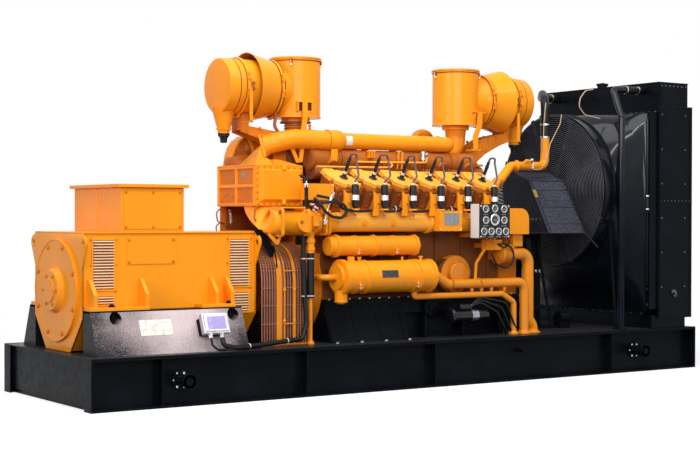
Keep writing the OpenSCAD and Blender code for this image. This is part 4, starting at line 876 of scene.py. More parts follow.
def notched(corners):
    """Outline through the corners, each of which is scooped out by a round notch about its bolt."""
    notch, steps = 0.02, 5
    points = []
    n = len(corners)
    for i, corner in enumerate(corners):
        corner = Vector(corner)
        back = (Vector(corners[i - 1]) - corner).normalized()
        on = (Vector(corners[(i + 1) % n]) - corner).normalized()
        points += [tuple(corner + notch * (back * (1 - t) + on * t).normalized()
            * (1 + 0.35 * sin(pi * t))) for t in (k / steps for k in range(steps + 1))]
    return points


def heads():
    """Covers, joint flanges, studs, side doors and gallery pipes of the twelve heads."""
    # Cover plates in paler amber: painted highlight on their tops. Side doors in the darker head
    # colour: painted shade.
    covers = Piece("head_cover_plates", "amber_pale", 0.004, replaces="head_covers")
    rims = Piece("head_joints", "amber_dark", 0.003)
    studs = Piece("head_studs", "exhaust")
    doors = Piece("head_doors", "head_shaded_cast", 0.004)
    leads = Piece("head_gallery_pipes", "exhaust")
    corners = [(-0.128, 0.03), (-0.02, 0.132), (0.105, 0.132), (0.118, 0.07), (0.082, -0.045),
        (0.0, -0.152), (-0.14, -0.152), (-0.13, -0.06)]
    for side in SIDES:
        outline = [(x, side * y) for x, y in notched(corners)]
        base = [(x * 1.04, y * 1.03) for x, y in outline]
        for x in CYLINDERS:
            place = on_bank(x, DECK, side)
            turn = place.to_3x3()
            out = turn @ (Y * side)
            covers.plate(base, 0.01, on_bank(x, HEAD_TOP, side))
            covers.plate(outline, 0.0285, on_bank(x, HEAD_TOP, side))
            rims.box((-0.1195, -0.1315, 0.01), (0.1195, 0.1315, 0.034), place)
            rims.box((-0.1195, -0.1315, 0.196), (0.1195, 0.1315, 0.216), place)
            face = side * 0.13
            doors.box((-0.096, face, 0.052), (0.096, face + side * 0.007, 0.18), place)
            for dx in (-0.083, 0.083):
                for dz in (0.064, 0.168):
                    studs.bolt(place @ Vector((dx, face + side * 0.007, dz)), out, 0.0085)
            flat = on_bank(x, HEAD_TOP, side)
            for cx, cy in corners:
                inward = Vector((cx, side * cy, 0)) * 0.985
                studs.bolt(flat @ (inward + Vector((0, 0, 0.01))), turn @ Z, 0.01)
            leads.tube([place @ Vector((0.128, t, 0.19 + 0.02 * sin(t * 20)))
                for t in (-0.12 + 0.03 * k for k in range(9))], 0.007, 8)


def ignition():
    """Plug boots on their dark bases, coils with a bright band each, and the leads between them."""
    boots = Piece("plug_boots", "plastic", replaces="ignition_coils")
    rings = Piece("plug_ceramics", "white")
    coils = Piece("coil_bodies", "plastic", replaces="ignition_coils")
    bands = Piece("coil_bands", "band", 0.0005)
    leads = Piece("plug_lead_cords", "lilac_lead", replaces="plug_leads")
    brackets = Piece("coil_brackets", "amber", 0.002)
    for side in SIDES:
        for i, x in enumerate(CYLINDERS):
            place = on_bank(x, HEAD_TOP + 0.014, side)
            up = place.to_3x3() @ Z
            start = place.translation
            boots.lathe([(0, 0.036), (0.018, 0.036), (0.023, 0.03), (0.026, 0.02), (0.05, 0.017),
                (0.052, 0.013), (0.08, 0.012), (0.082, 0.0145), (0.14, 0.0145), (0.142, 0.017),
                (0.152, 0.017), (0.154, 0.014), (0.192, 0.013), (0.198, 0.009), (0.212, 0.008)], start,
                up, 20)
            rings.lathe([(0.054, 0.015), (0.074, 0.015)], start, up, 16)
            foot = Vector((x, side * COIL_Y, COIL_Z))
            coils.lathe([(0, 0.01), (0.012, 0.022), (0.034, 0.029), (0.066, 0.031), (0.112, 0.031),
                (0.114, 0.0295), (0.14, 0.0295), (0.142, 0.031), (0.186, 0.0305), (0.192, 0.026),
                (0.197, 0.012)], foot, Z, 28)
            bands.lathe([(0.068, 0.0312), (0.068, 0.0322), (0.108, 0.0322), (0.108, 0.0312)], foot, Z,
                28, closed=True)
            for dz in (0.07, 0.106):
                bands.ring(foot + Z * dz, Z, 0.033, 0.002, 0.004, 28)
            tip = start + up * 0.208
            cap = foot + Z * 0.194
            lean = 0.014 * sin(2.3 * i + side)
            crest = tip + up * 0.022
            bow = Vector((x + 0.052 + lean, side * (COIL_Y - 0.045), crest.z - 0.03 + 0.5 * lean))
            leads.pipe([tip, crest, crest + Vector((0.03, side * 0.035, 0.004)), bow,
                Vector((x + 0.045 + lean, side * COIL_Y, cap.z + 0.07)), cap + Z * 0.026, cap], 0.0086,
                0.04, 10, 6)
            rings.lathe([(-0.004, 0.0095), (0.014, 0.0095), (0.018, 0.007)], cap, Z, 14)
            brackets.slab_y([(x - 0.08, 1.605), (x - 0.028, 1.56), (x - 0.028, 1.4), (x - 0.092, 1.4),
                (x - 0.078, 1.47)], side * (COIL_Y - 0.052), side * (COIL_Y - 0.034))
            brackets.box((x - 0.05, side * (COIL_Y - 0.036), 1.5),
                (x + 0.034, side * (COIL_Y - 0.024), 1.52))


def low_tension_cable():
    """Black conduit from coil to coil, tied in pairs, with the slack loop and leads at the box."""
    loom = Piece("ignition_loom", "rubber")
    ties = Piece("loom_ties", "white")
    plugs = Piece("coil_foot_plugs", "coral")
    collars = Piece("loom_collars", "steel")
    for side in SIDES:
        y = side * (COIL_Y - 0.012)
        for i, x in enumerate(CYLINDERS):
            foot = Vector((x, side * COIL_Y, COIL_Z + 0.006))
            end = x + (0.225 if i < 5 else 0.12)
            sag = 0.006 * sin(3.1 * i)
            loom.pipe([foot, foot - Z * 0.026, (x + 0.05, y, COIL_Z - 0.022),
                (x + 0.15, y, COIL_Z - 0.018 + sag), (end, side * (COIL_Y - 0.09), COIL_Z - 0.012)],
                0.0115, 0.035, 10, 5)
            if i % 2:
                loom.pipe([(x + 0.04, y, COIL_Z - 0.004), (x + 0.11, y, COIL_Z + 0.016),
                    (x + 0.18, y, COIL_Z + 0.004), (end, side * (COIL_Y - 0.08), COIL_Z - 0.01)],
                    0.0085, 0.05, 8, 5)
                ties.ring((x + 0.11, y, COIL_Z - 0.002), X, 0.026, 0.003, 0.006, 16)
            plugs.lathe([(0, 0.012), (0.022, 0.012), (0.026, 0.008), (0.04, 0.008)],
                (x - 0.012, side * COIL_Y, COIL_Z - 0.03), (0.5, 0, -0.9), 12)
    x0, y, drop = -1.04, -0.69, 0.034
    slack = [(x0, -0.6, 1.545), (x0 + 0.02, y, 1.535), (x0 + 0.12, y, 1.545),
        (x0 + 0.22, y - 0.01, 1.52), (x0 + 0.245, y - 0.01, 1.46), (x0 + 0.19, y - 0.01, 1.415),
        (x0 + 0.1, y - 0.01, 1.425), (x0 + 0.03, y - 0.01, 1.47), (x0 - 0.005, y, 1.53),
        (x0 - 0.015, -0.62, 1.57)]
    loom.pipe([(a, b, c - drop) for a, b, c in slack], 0.0125, 0.06, 10, 6)
    loom.pipe([(x0 + 0.02, -0.6, 1.56), (x0 + 0.07, -0.66, 1.545), (x0 + 0.16, -0.67, 1.52),
        (CYLINDERS[0] - 0.12, -0.66, COIL_Z), (CYLINDERS[0] - 0.01, -0.655, COIL_Z - 0.02)], 0.0115,
        0.05, 10, 5)
    box_x, front = -1.118, -0.56
    for k in range(3):
        x, top = box_x + 0.006 + 0.011 * k, 1.7 - 0.012 * (k % 2)
        loom.pipe([(x - 0.01, front + 0.06, top + 0.02), (x, front - 0.01, top),
            (x + 0.004 * (k % 2), front - 0.012, 1.54), (x - 0.004, front - 0.011, 1.4)], 0.0058, 0.03,
            8, 4)
        collars.rod((x, front - 0.0115, 1.625 + 0.018 * (k % 2)),
            (x, front - 0.0115, 1.655 + 0.018 * (k % 2)), 0.0072, sides=10)
        collars.rod((x - 0.003, front - 0.011, 1.428 - 0.016 * (k % 2)),
            (x - 0.004, front - 0.011, 1.452 - 0.016 * (k % 2)), 0.0075, sides=10)


def crankcase_trim():
    """Doors, ribs and bolts on the crankcase, its bed and the gear case."""
    doors = Piece("crankcase_doors", "amber_dark", 0.004)
    bolts = Piece("crankcase_bolts", "amber_dark")
    bed = Piece("bed_trim", "black")
    bright = Piece("bed_bolts", "steel")
    ribs = Piece("crankcase_ribs", "case_shaded_cast", 0.004)
    for x in CYLINDERS:
        doors.box((x - 0.11, 0.398, 0.79), (x + 0.11, 0.412, 1.03))
        for dx in (-0.092, 0, 0.092):
            bolts.bolt_grid(x + dx, 0.412, (0.806, 1.014), Y, 0.01)
    for side in SIDES:
        for x in [c + 0.144 for c in CYLINDERS[:-1]] + [-0.85, 0.88]:
            ribs.box((x - 0.009, side * 0.399, 0.735), (x + 0.009, side * 0.416, 1.275))
        ribs.box((-0.858, side * 0.399, 1.255), (0.998, side * 0.424, 1.282))
        ribs.box((-0.858, side * 0.399, 0.72), (0.998, side * 0.424, 0.748))
        for i in range(19):
            bright.bolt((-0.8 + i * 0.1, side * 0.44, 0.7195), Z, 0.01)
            bed.bolt((-0.8 + i * 0.1, side * 0.471, 0.66), (0, side, 0), 0.009)
        for x in (-0.84, -0.6, -0.36, -0.12):
            top, foot = Vector((x, side * 0.471, 0.592)), Vector((x, side * 0.571, 0.382))
            bed.tube([top, foot], 0.01, 8)
            bright.bolt((x + 0.02, side * 0.6, 0.3795), Z, 0.012)
        for x in (0.15, 0.55, 0.95):
            bed.box((x - 0.012, side * 0.409, 0.38), (x + 0.012, side * 0.49, 0.596))
    bed.bolt_ring((0.195, -0.5105, 0.634), -Y, 0.055, 6, 0.008)
    bed.lathe([(0, 0.03), (0.012, 0.03), (0.014, 0.024)], (0.195, -0.51, 0.634), -Y, 24)
    cover = Piece("case_cover", "amber_deep")
    cover.lathe([(0, 0.16), (0.064, 0.16), (0.074, 0.154), (0.078, 0.142), (0.079, 0.104),
        (0.12, 0.102), (0.128, 0.094), (0.129, 0.02)], (0.482, -0.402, 0.908), -Y, 72)
    for z in (0.8, 0.95, 1.1):
        for side in SIDES:
            bolts.bolt((1.19, side * 0.395, z), X, 0.011)
            bolts.bolt((1.06, side * 0.43, z), (0, side, 0), 0.01)
    bolts.bolt_ring((-1.03, 0, SHAFT_Z), -X, 0.405, 20, 0.011)


heads()
ignition()
low_tension_cable()
crankcase_trim()


# ---------------------------------------------------------------- exhaust and charge air

TURBO_X, TURBO_Z, EXHAUST_Z = 0.57, 1.965, 1.77
JACKET_Z, CHARGE_Z, CHARGE_R = 1.868, 2.024, 0.067
HOOD_OUT = {NEAR: ((-1.255, -0.14, 1.958), Vector((0.8, -0.53, 0.27)).normalized()),
    FAR: ((-1.21, 0.2, 1.957), Vector((0.966, 0, 0.259)))}
INTAKE_Y, INTAKE_Z, INTAKE_R = -0.53, 1.35, 0.08
DUCT_Z, FLANGE_X = 1.345, (-1.366, -1.117, -0.951)
DRAIN_X, DRAIN_Y = -1.042, -0.545


def volute(piece, x, y, r, turn):
    """Snail casing about X whose passage grows round the wheel."""
    steps, sides = 30, 16
    route, radii = [], []
    for k in range(steps + 1):
        a = turn + 1.7 * pi * k / steps
        tube = 0.026 + 0.034 * k / steps
        out = r - tube
        route.append((x, y + out * sin(a), TURBO_Z + out * cos(a)))
        radii.append(tube)
    piece.tube(route, radii, sides)
    piece.lathe([(-0.055, r * 0.42), (-0.048, r * 0.72), (-0.01, r * 0.8), (0.01, r * 0.8),
        (0.048, r * 0.66), (0.06, 0.1)], (x, y, TURBO_Z), X, 40)


def turbochargers():
    """Compressor and turbine casings, their clamps, and a scroll on the far side."""
    hot = Piece("turbine_casings", "exhaust", 0.001, replaces="turbochargers", smooth=40)
    cold = Piece("compressor_casings", "amber_dark", 0.001, replaces="turbochargers", smooth=40)
    clamps = Piece("turbo_clamps", "steel", 0.001)
    for side, shift, r in ((1, 0.035, 0.14), (-1, 0.0, 0.105)):
        volute(cold, side * TURBO_X, shift, r, 0.5 * pi)
        cold.lathe([(0, 0.1), (0.02, 0.102), (0.031, 0.102)], (side * (TURBO_X + 0.059), 0, TURBO_Z),
            side * X, 36)
        volute(hot, side * 0.355, 0, 0.11, -0.3)
        hot.lathe([(-0.115, 0.066), (-0.098, 0.08), (-0.085, 0.062), (-0.03, 0.058), (0.03, 0.062),
            (0.045, 0.085), (0.058, 0.085)], (side * 0.455, 0, TURBO_Z), side * X, 36)
        hot.box((side * 0.31, -0.24, 1.8423), (side * 0.37, 0.24, 1.86))
        hot.box((side * 0.32, -0.07, 1.861), (side * 0.39, 0.07, 1.945))
        port = (side * TURBO_X, -side * 0.105, 2.026)
        cold.rod((side * TURBO_X, 0, 2.022), port, 0.078, sides=36)
        for x in (0.418, 0.5):
            clamps.ring((side * x, 0, TURBO_Z), X, 0.093, 0.012, 0.016, 40)
        for a in turns(6):
            cold.bolt((side * (TURBO_X + 0.058), shift + r * 0.6 * sin(a), TURBO_Z + r * 0.6 * cos(a)),
                (side, 0, 0), 0.009)
    scroll = [(0.625 + 0.085 * cos(0.3 * i), 0.2, 2.088 + 0.058 * sin(0.3 * i)) for i in range(-2, 15)]
    cold.tube(scroll, 0.036, 14)
    cold.rod((0.625, 0.16, 2.088), (0.625, 0.236, 2.088), 0.05, sides=24)


def exhaust_trim():
    """Jackets over the manifolds, bellows, the thin pipes along the heads, fittings and straps."""
    jackets = Piece("exhaust_jackets", "manifold", 0.0015)
    bellows = Piece("exhaust_bellows", "exhaust", smooth=50)
    # The thin pipes are paler amber as a painted highlight.
    pipes = Piece("coolant_vent_pipes", "amber_pale")
    bright = Piece("vent_fittings", "aluminium")
    straps = Piece("valley_straps", "amber", 0.001)
    for side in SIDES:
        y = side * 0.178
        start, end = -0.835, 0.88
        edges = [start, *[c + 0.144 for c in CYLINDERS[:-1]], end]
        for x0, x1 in zip(edges, edges[1:]):
            jackets.lathe([(0, 0.076), (0.012, 0.086), (x1 - x0 - 0.012, 0.086), (x1 - x0, 0.076)],
                (x0, y, JACKET_Z), X, 40)
            for x in (x0 + 0.012, x1 - 0.012):
                jackets.ring((x, y, JACKET_Z), X, 0.093, 0.012, 0.012, 40)
            jackets.bolt_ring((x1 - 0.018, y, JACKET_Z), -X, 0.087, 8, 0.006)
            middle = (x0 + x1) / 2
            jackets.lathe([(0, 0.044), (0.03, 0.04), (0.032, 0.052), (0.046, 0.052)],
                (middle + 0.04, y + side * 0.058, JACKET_Z - 0.03), (0, side * 0.8, -0.6), 28)
        for x in [c + 0.175 for c in CYLINDERS[:-1]]:
            profile = [(-0.028, 0.068)]
            for k in range(5):
                profile += [(-0.024 + k * 0.011, 0.078), (-0.0185 + k * 0.011, 0.0735)]
            bellows.lathe([*profile, (0.03, 0.068)], (x, side * 0.175, EXHAUST_Z), X, 36)
        y = side * 0.3
        pipes.pipe([(-0.44, y, 1.848), (-0.1, y, 1.852), (0.18, y, 1.856), (0.292, y, 1.858),
            (0.3, y, 1.905)], 0.0085, 0.022, 12)
        pipes.pipe([(-0.84, side * 0.32, 1.8), (-0.42, side * 0.32, 1.803),
            (-0.105, side * 0.32, 1.808), (-0.06, y, 1.828), (-0.092, y, 1.851)], 0.0085, 0.02, 12)
        y = side * 0.338
        pipes.pipe([(-0.79, y, 1.757), (-0.1, y, 1.765), (0.55, y, 1.772), (0.86, y, 1.774),
            (0.93, side * 0.36, 1.7)], 0.0105, 0.05, 12)
        for x in CYLINDERS:
            pipes.rod((x - 0.06, y, 1.762), (x - 0.06, side * 0.365, 1.715), 0.009, sides=12)
            pipes.lathe([(0, 0.017), (0.016, 0.017), (0.018, 0.012), (0.03, 0.012)],
                (x - 0.06, y, 1.757), Z, 6)
        x, y = 0.262, side * 0.292
        bright.lathe([(0, 0.01), (0.01, 0.01), (0.012, 0.022), (0.034, 0.022), (0.036, 0.015),
            (0.06, 0.015), (0.062, 0.02), (0.085, 0.02)], (x, y, 1.868), Z, 20)
        bright.lathe([(0, 0.012), (0.03, 0.012), (0.032, 0.018), (0.044, 0.018)], (x, y, 1.93), X, 6)
        for k in range(3):
            straps.box((-0.3 + 0.024 * k, y, 1.885), (-0.288 + 0.024 * k, side * 0.262, 1.94))
        straps.box((-0.31, y, 1.935), (-0.232, side * 0.262, 1.947))
        for x0, x1, top in ((0.0, 0.016, 1.95), (0.045, 0.055, 1.945)):
            straps.slab_y([(x0, 1.8), (x0 + 0.018, 1.8), (x1 + 0.018, top), (x1, top)], side * 0.268,
                side * 0.262)
        leg = side * 0.205
        straps.slab_y([(-1.03, 1.955), (-0.995, 1.955), (-0.935, 1.832), (-0.968, 1.832)], leg,
            leg + side * 0.012)
        straps.slab_y([(-0.93, 1.955), (-0.893, 1.955), (-0.912, 1.836), (-0.948, 1.836)], leg,
            leg + side * 0.012)
        straps.slab_y([(-0.662, 1.95), (-0.6, 1.95), (-0.61, 1.795), (-0.672, 1.795)], side * 0.27,
            side * 0.262)


def charge_pipe(piece, side, joint_x, port_x):
    """Smooth bend from a hood's flange, a swollen joint, and a narrower run to the turbocharger."""
    y = side * 0.2
    start, way = HOOD_OUT[side]
    start = Vector(start) + way * 0.022
    knee = (-1.15, y, 1.995) if side == NEAR else (-0.93, y, CHARGE_Z)
    piece.pipe([start, knee, (-0.98, y, CHARGE_Z + 0.001), (joint_x, y, CHARGE_Z)] if side == NEAR
        else [start, knee, (joint_x, y, CHARGE_Z)], 0.08, 0.6, 48, 16)
    piece.lathe([(-0.002, 0.078), (0.0, 0.0865), (0.1, 0.089), (0.126, 0.086), (0.142, 0.079),
        (0.152, 0.069), (0.156, 0.066)], (joint_x, y, CHARGE_Z), X, 48)
    reach = port_x + (0.045 if side == NEAR else 0.0)
    piece.pipe([(joint_x + 0.15, y, CHARGE_Z), (reach, y, CHARGE_Z), (reach, side * 0.095, CHARGE_Z)],
        CHARGE_R, 0.085, 44, 12)


def charge_air():
    """Charge pipes with their joints, flanges and bolts, and the pale plate on the near one."""
    pipes = Piece("charge_pipe_runs", "amber", replaces="charge_pipes", smooth=50)
    bands = Piece("charge_pipe_bands", "amber_dark", 0.001)
    bolts = Piece("charge_pipe_bolts", "exhaust")
    plates = Piece("charge_pipe_plate", "white", 0.0005)
    for side, joint_x, port_x in ((FAR, -0.88, -TURBO_X), (NEAR, -0.672, TURBO_X)):
        charge_pipe(pipes, side, joint_x, port_x)
        foot, way = HOOD_OUT[side]
        foot = Vector(foot) + way * 0.022
        across = Z.cross(way).normalized()
        up = way.cross(across)
        pipes.lathe([(-0.001, 0.094), (0.01, 0.094), (0.012, 0.088), (0.026, 0.084), (0.036, 0.0805)],
            foot, way, 44)
        for dy in (-0.074, 0.074):
            for dz in (-0.074, 0.074):
                bolts.bolt(foot + across * dy + up * dz, way, 0.009)
        bands.ring((joint_x + 0.001, side * 0.2, CHARGE_Z), X, 0.0885, 0.008, 0.004, 48)
        if side == NEAR:
            bands.lathe([(0, 0.016), (0.01, 0.016), (0.012, 0.01), (0.03, 0.01), (0.032, 0.014),
                (0.046, 0.014)], (joint_x - 0.16, side * 0.2, CHARGE_Z + 0.078), Z, 16)
    arc = [radians(-34 + 68 * k / 8) for k in range(9)]
    outline = []
    for r, angles in ((CHARGE_R + 0.0018, arc), (CHARGE_R - 0.001, arc[::-1])):
        outline += [(-0.2 - r * cos(a), CHARGE_Z + r * sin(a)) for a in angles]
    plates.slab_x(outline, -0.51, -0.448)


def loft(piece, start, half, leave, end, radius, arrive, power=0.62):
    """Skin on a smooth curve from a rounded rectangle, half sizes along X and Y, to a circle.

    leave and arrive are the first and the last handle of the curve; the circle faces along arrive.
    """
    rings, sides = 30, 72
    across = arrive.cross(Y).normalized()
    other = arrive.cross(across).normalized()
    rows = []
    for k in range(rings + 1):
        t = k / rings
        weights = ((1 - t) ** 3, 3 * t * (1 - t) ** 2, 3 * t * t * (1 - t), t ** 3)
        row = []
        for a in turns(sides):
            c, n = cos(a), sin(a)
            square = start + Vector((half[0] * copysign(abs(c) ** power, c),
                half[1] * copysign(abs(n) ** power, n), 0))
            flat = Vector((square.x - start.x, square.y - start.y)).normalized()
            circle = end + radius * (flat.x * across + flat.y * other)
            knots = (square, square + leave, circle - arrive, circle)
            row.append(sum((w * knot for w, knot in zip(weights, knots)), Vector()))
        rows.append(row)
    piece.skin(rows)


def hoods():
    """Flat-sided near hood and cast far elbow, each with the flange of its charge pipe."""
    flat = Piece("hood_plates", "amber", 0.003, replaces="intercooler_hoods")
    cast = Piece("hood_elbow", "manifold", replaces="intercooler_hoods", smooth=50)
    rib = Piece("hood_elbow_rib", "amber", 0.003)
    x0, x1, inner, outer, z = -1.398, -1.172, 0.01, 0.288, 1.801
    for side, half in ((NEAR, 0.092), (FAR, 0.1)):
        middle, way = HOOD_OUT[side]
        across = Z.cross(way).normalized()
        turn = Matrix((across, way.cross(across), way)).transposed().to_4x4()
        place = Matrix.Translation(middle) @ turn
        flat.box((-half, -half, -0.001), (half, half, 0.022), place)
        flat.box((x0 - 0.01, side * inner, z), (-0.976, side * (outer + 0.01), z + 0.007))
        if side == NEAR:
            base = [(x, side * y, z) for x, y in ((x0, inner), (x0, outer), (x1, outer), (x1, inner))]
            top = [place @ Vector(corner) for corner in ((0.08, 0.012, 0), (-0.08, 0.012, 0),
                (-0.08, -0.085, 0), (0.08, -0.085, 0))]
            flat.skin([base, top])
            flat.slab_y([(x1 - 0.06, z), (-0.976, z), (-0.976, z + 0.004), (x1 - 0.01, z + 0.048),
                (x1 - 0.06, z + 0.048)], side * 0.09, side * outer)
        else:
            loft(cast, Vector((-1.29, 0.155, z)), (0.104, 0.132), Vector((-0.03, 0.0, 0.15)),
                Vector(middle), 0.094, way * 0.075, 0.7)
            outside = [(-1.39, z), (-1.374, 1.89), (-1.35, 1.96), (-1.31, 2.015), (-1.262, 2.045),
                (-1.215, 2.055)]
            inside = [(x + 0.014, h - 0.01) for x, h in reversed(outside)]
            rib.slab_y(outside + inside, 0.13, 0.262)
            cast.slab_y(inside[::-1] + [(-1.215, 1.9), (-1.3, z)], 0.134, 0.258)


def square_flange(piece, bolts, x0, x1, half, round_by=0.03):
    """Plate across the duct with rounded corners and a bolt in each."""
    outline = []
    for k, (cy, cz) in enumerate(((1, 1), (-1, 1), (-1, -1), (1, -1))):
        middle = Vector((INTAKE_Y + cy * (half - round_by), DUCT_Z + cz * (half - round_by)))
        outline += [(middle.x + round_by * cos(a), middle.y + round_by * sin(a))
            for a in (pi / 2 * (k + i / 4) for i in range(5))]
        bolts.bolt((x1, middle.x, middle.y), X, 0.012)
        bolts.bolt((x0, middle.x, middle.y), -X, 0.012)
    piece.slab_x(outline, x0, x1)


def throttle_duct():
    """Funnel, throttle body with its shield-shaped cover, flanges, lever, and the strap below."""
    duct = Piece("throttle_duct_run", "amber", replaces="throttle_duct", smooth=60)
    flanges = Piece("throttle_duct_flanges", "amber", 0.0025, replaces="throttle_duct")
    bolts = Piece("throttle_duct_bolts", "exhaust")
    bright = Piece("throttle_lever", "steel")
    black = Piece("duct_strap", "black", 0.001)
    loft(duct, Vector((-1.262, -0.17, 1.476)), (0.143, 0.118), Vector((-0.025, -0.078, -0.124)),
        Vector((FLANGE_X[0] + 0.002, INTAKE_Y, DUCT_Z)), 0.096, X * 0.155)
    square_flange(flanges, bolts, FLANGE_X[0], FLANGE_X[0] + 0.022, 0.112)
    flanges.box((FLANGE_X[0], INTAKE_Y - 0.08, DUCT_Z + 0.11), (-1.13, INTAKE_Y + 0.06, DUCT_Z + 0.124))
    duct.lathe([(0, 0.104), (0.012, 0.104), (0.016, 0.098), (0.225, 0.1), (0.235, 0.096)],
        (FLANGE_X[0] + 0.021, INTAKE_Y, DUCT_Z), X, 48)
    x0, x1 = FLANGE_X[1] - 0.112, FLANGE_X[1]
    shield = [(x1, 0.068), (x0 + 0.05, 0.068), (x0 + 0.022, 0.05), (x0, 0.004), (x0 + 0.012, -0.034),
        (x0 + 0.045, -0.066), (x0 + 0.08, -0.078), (x1, -0.078)]
    flanges.slab_y([(x, DUCT_Z + z) for x, z in shield], INTAKE_Y - 0.116, INTAKE_Y - 0.06)
    bolts.bolt((x0 + 0.04, INTAKE_Y - 0.116, DUCT_Z + 0.004), -Y, 0.01)
    square_flange(flanges, bolts, FLANGE_X[1], FLANGE_X[1] + 0.026, 0.106, 0.045)
    duct.lathe([(0, 0.084), (0.12, 0.084)], (FLANGE_X[1] + 0.022, INTAKE_Y, DUCT_Z), X, 44)
    for x in (FLANGE_X[1] + 0.045, FLANGE_X[1] + 0.098):
        flanges.ring((x, INTAKE_Y, DUCT_Z), X, 0.1, 0.02, 0.014, 44)
        bolts.bolt_ring((x + 0.007, INTAKE_Y, DUCT_Z), X, 0.091, 10, 0.007)
    flanges.box((FLANGE_X[1] + 0.04, INTAKE_Y - 0.118, DUCT_Z - 0.03),
        (FLANGE_X[1] + 0.092, INTAKE_Y - 0.07, DUCT_Z + 0.052))
    square_flange(flanges, bolts, FLANGE_X[2], FLANGE_X[2] + 0.02, 0.102, 0.035)
    square_flange(flanges, bolts, FLANGE_X[2] + 0.03, FLANGE_X[2] + 0.05, 0.102, 0.035)
    duct.lathe([(0, 0.0795), (0.085, 0.0795)], (FLANGE_X[2] + 0.045, INTAKE_Y, DUCT_Z), X, 44)
    duct.lathe([(0, 0.029), (0.02, 0.029), (0.022, 0.036), (0.044, 0.036), (0.046, 0.03), (0.08, 0.03),
        (0.082, 0.037), (0.108, 0.037), (0.11, 0.029), (0.175, 0.029)], (DRAIN_X, DRAIN_Y, 1.104), Z,
        32)
    y = INTAKE_Y - 0.13
    lever, joint = Vector((-0.985, y, DUCT_Z + 0.015)), Vector((-0.95, y - 0.01, 1.49))
    bright.tube([lever, joint], 0.0045, 8)
    bright.lathe([(0, 0.016), (0.014, 0.016), (0.016, 0.01), (0.028, 0.01)], lever, -Y, 18)
    bright.slab_y([(lever.x - 0.01, lever.z - 0.03), (lever.x + 0.012, lever.z - 0.028),
        (lever.x + 0.008, lever.z + 0.014), (lever.x - 0.014, lever.z + 0.014)], y - 0.006, y + 0.002)
    bright.lathe([(0, 0.008), (0.01, 0.014), (0.05, 0.014), (0.058, 0.009), (0.08, 0.009)], joint,
        (0.35, 0, 1), 14)
    bright.lathe([(0, 0.012), (0.016, 0.012)], joint + Vector((0.034, -0.012, 0.086)), Y, 14)
    brace = [(-1.47, 1.275), (-1.44, 1.275), (-1.357, 1.208), (-1.33, 1.275), (-1.3, 1.275),
        (-1.345, 1.172), (-1.372, 1.172)]
    flanges.slab_y(brace, INTAKE_Y - 0.026, INTAKE_Y - 0.016)
    bolts.bolt_grid((-1.452, -1.318), INTAKE_Y - 0.026, 1.262, -Y, 0.009)
    black.slab_y([(-1.525, 1.29), (-1.452, 1.29), (-1.335, 1.135), (-1.345, 1.08), (-1.372, 1.072)],
        -0.478, -0.468)
    black.tube([(-1.355, -0.49, 1.165), (-1.345, -0.495, 1.12), (-1.335, -0.5, 1.06),
        (-1.33, -0.505, 0.99)], 0.006, 8)
    black.tube([(-0.99, -0.42, 1.475), (-1.0, -0.47, 1.47), (-1.005, -0.5, 1.455), (-1.0, -0.52, 1.43)],
        0.008, 8)
    for k, (dx, dz) in enumerate(((0, 0), (0.03, -0.018), (0.012, -0.042))):
        bright.lathe([(0, 0.013), (0.018, 0.013), (0.02, 0.009), (0.04, 0.009)],
            (-1.035 + dx, -0.52 - 0.01 * k, 1.49 + dz), (1, -0.4 * k, -0.5 * k), 8)


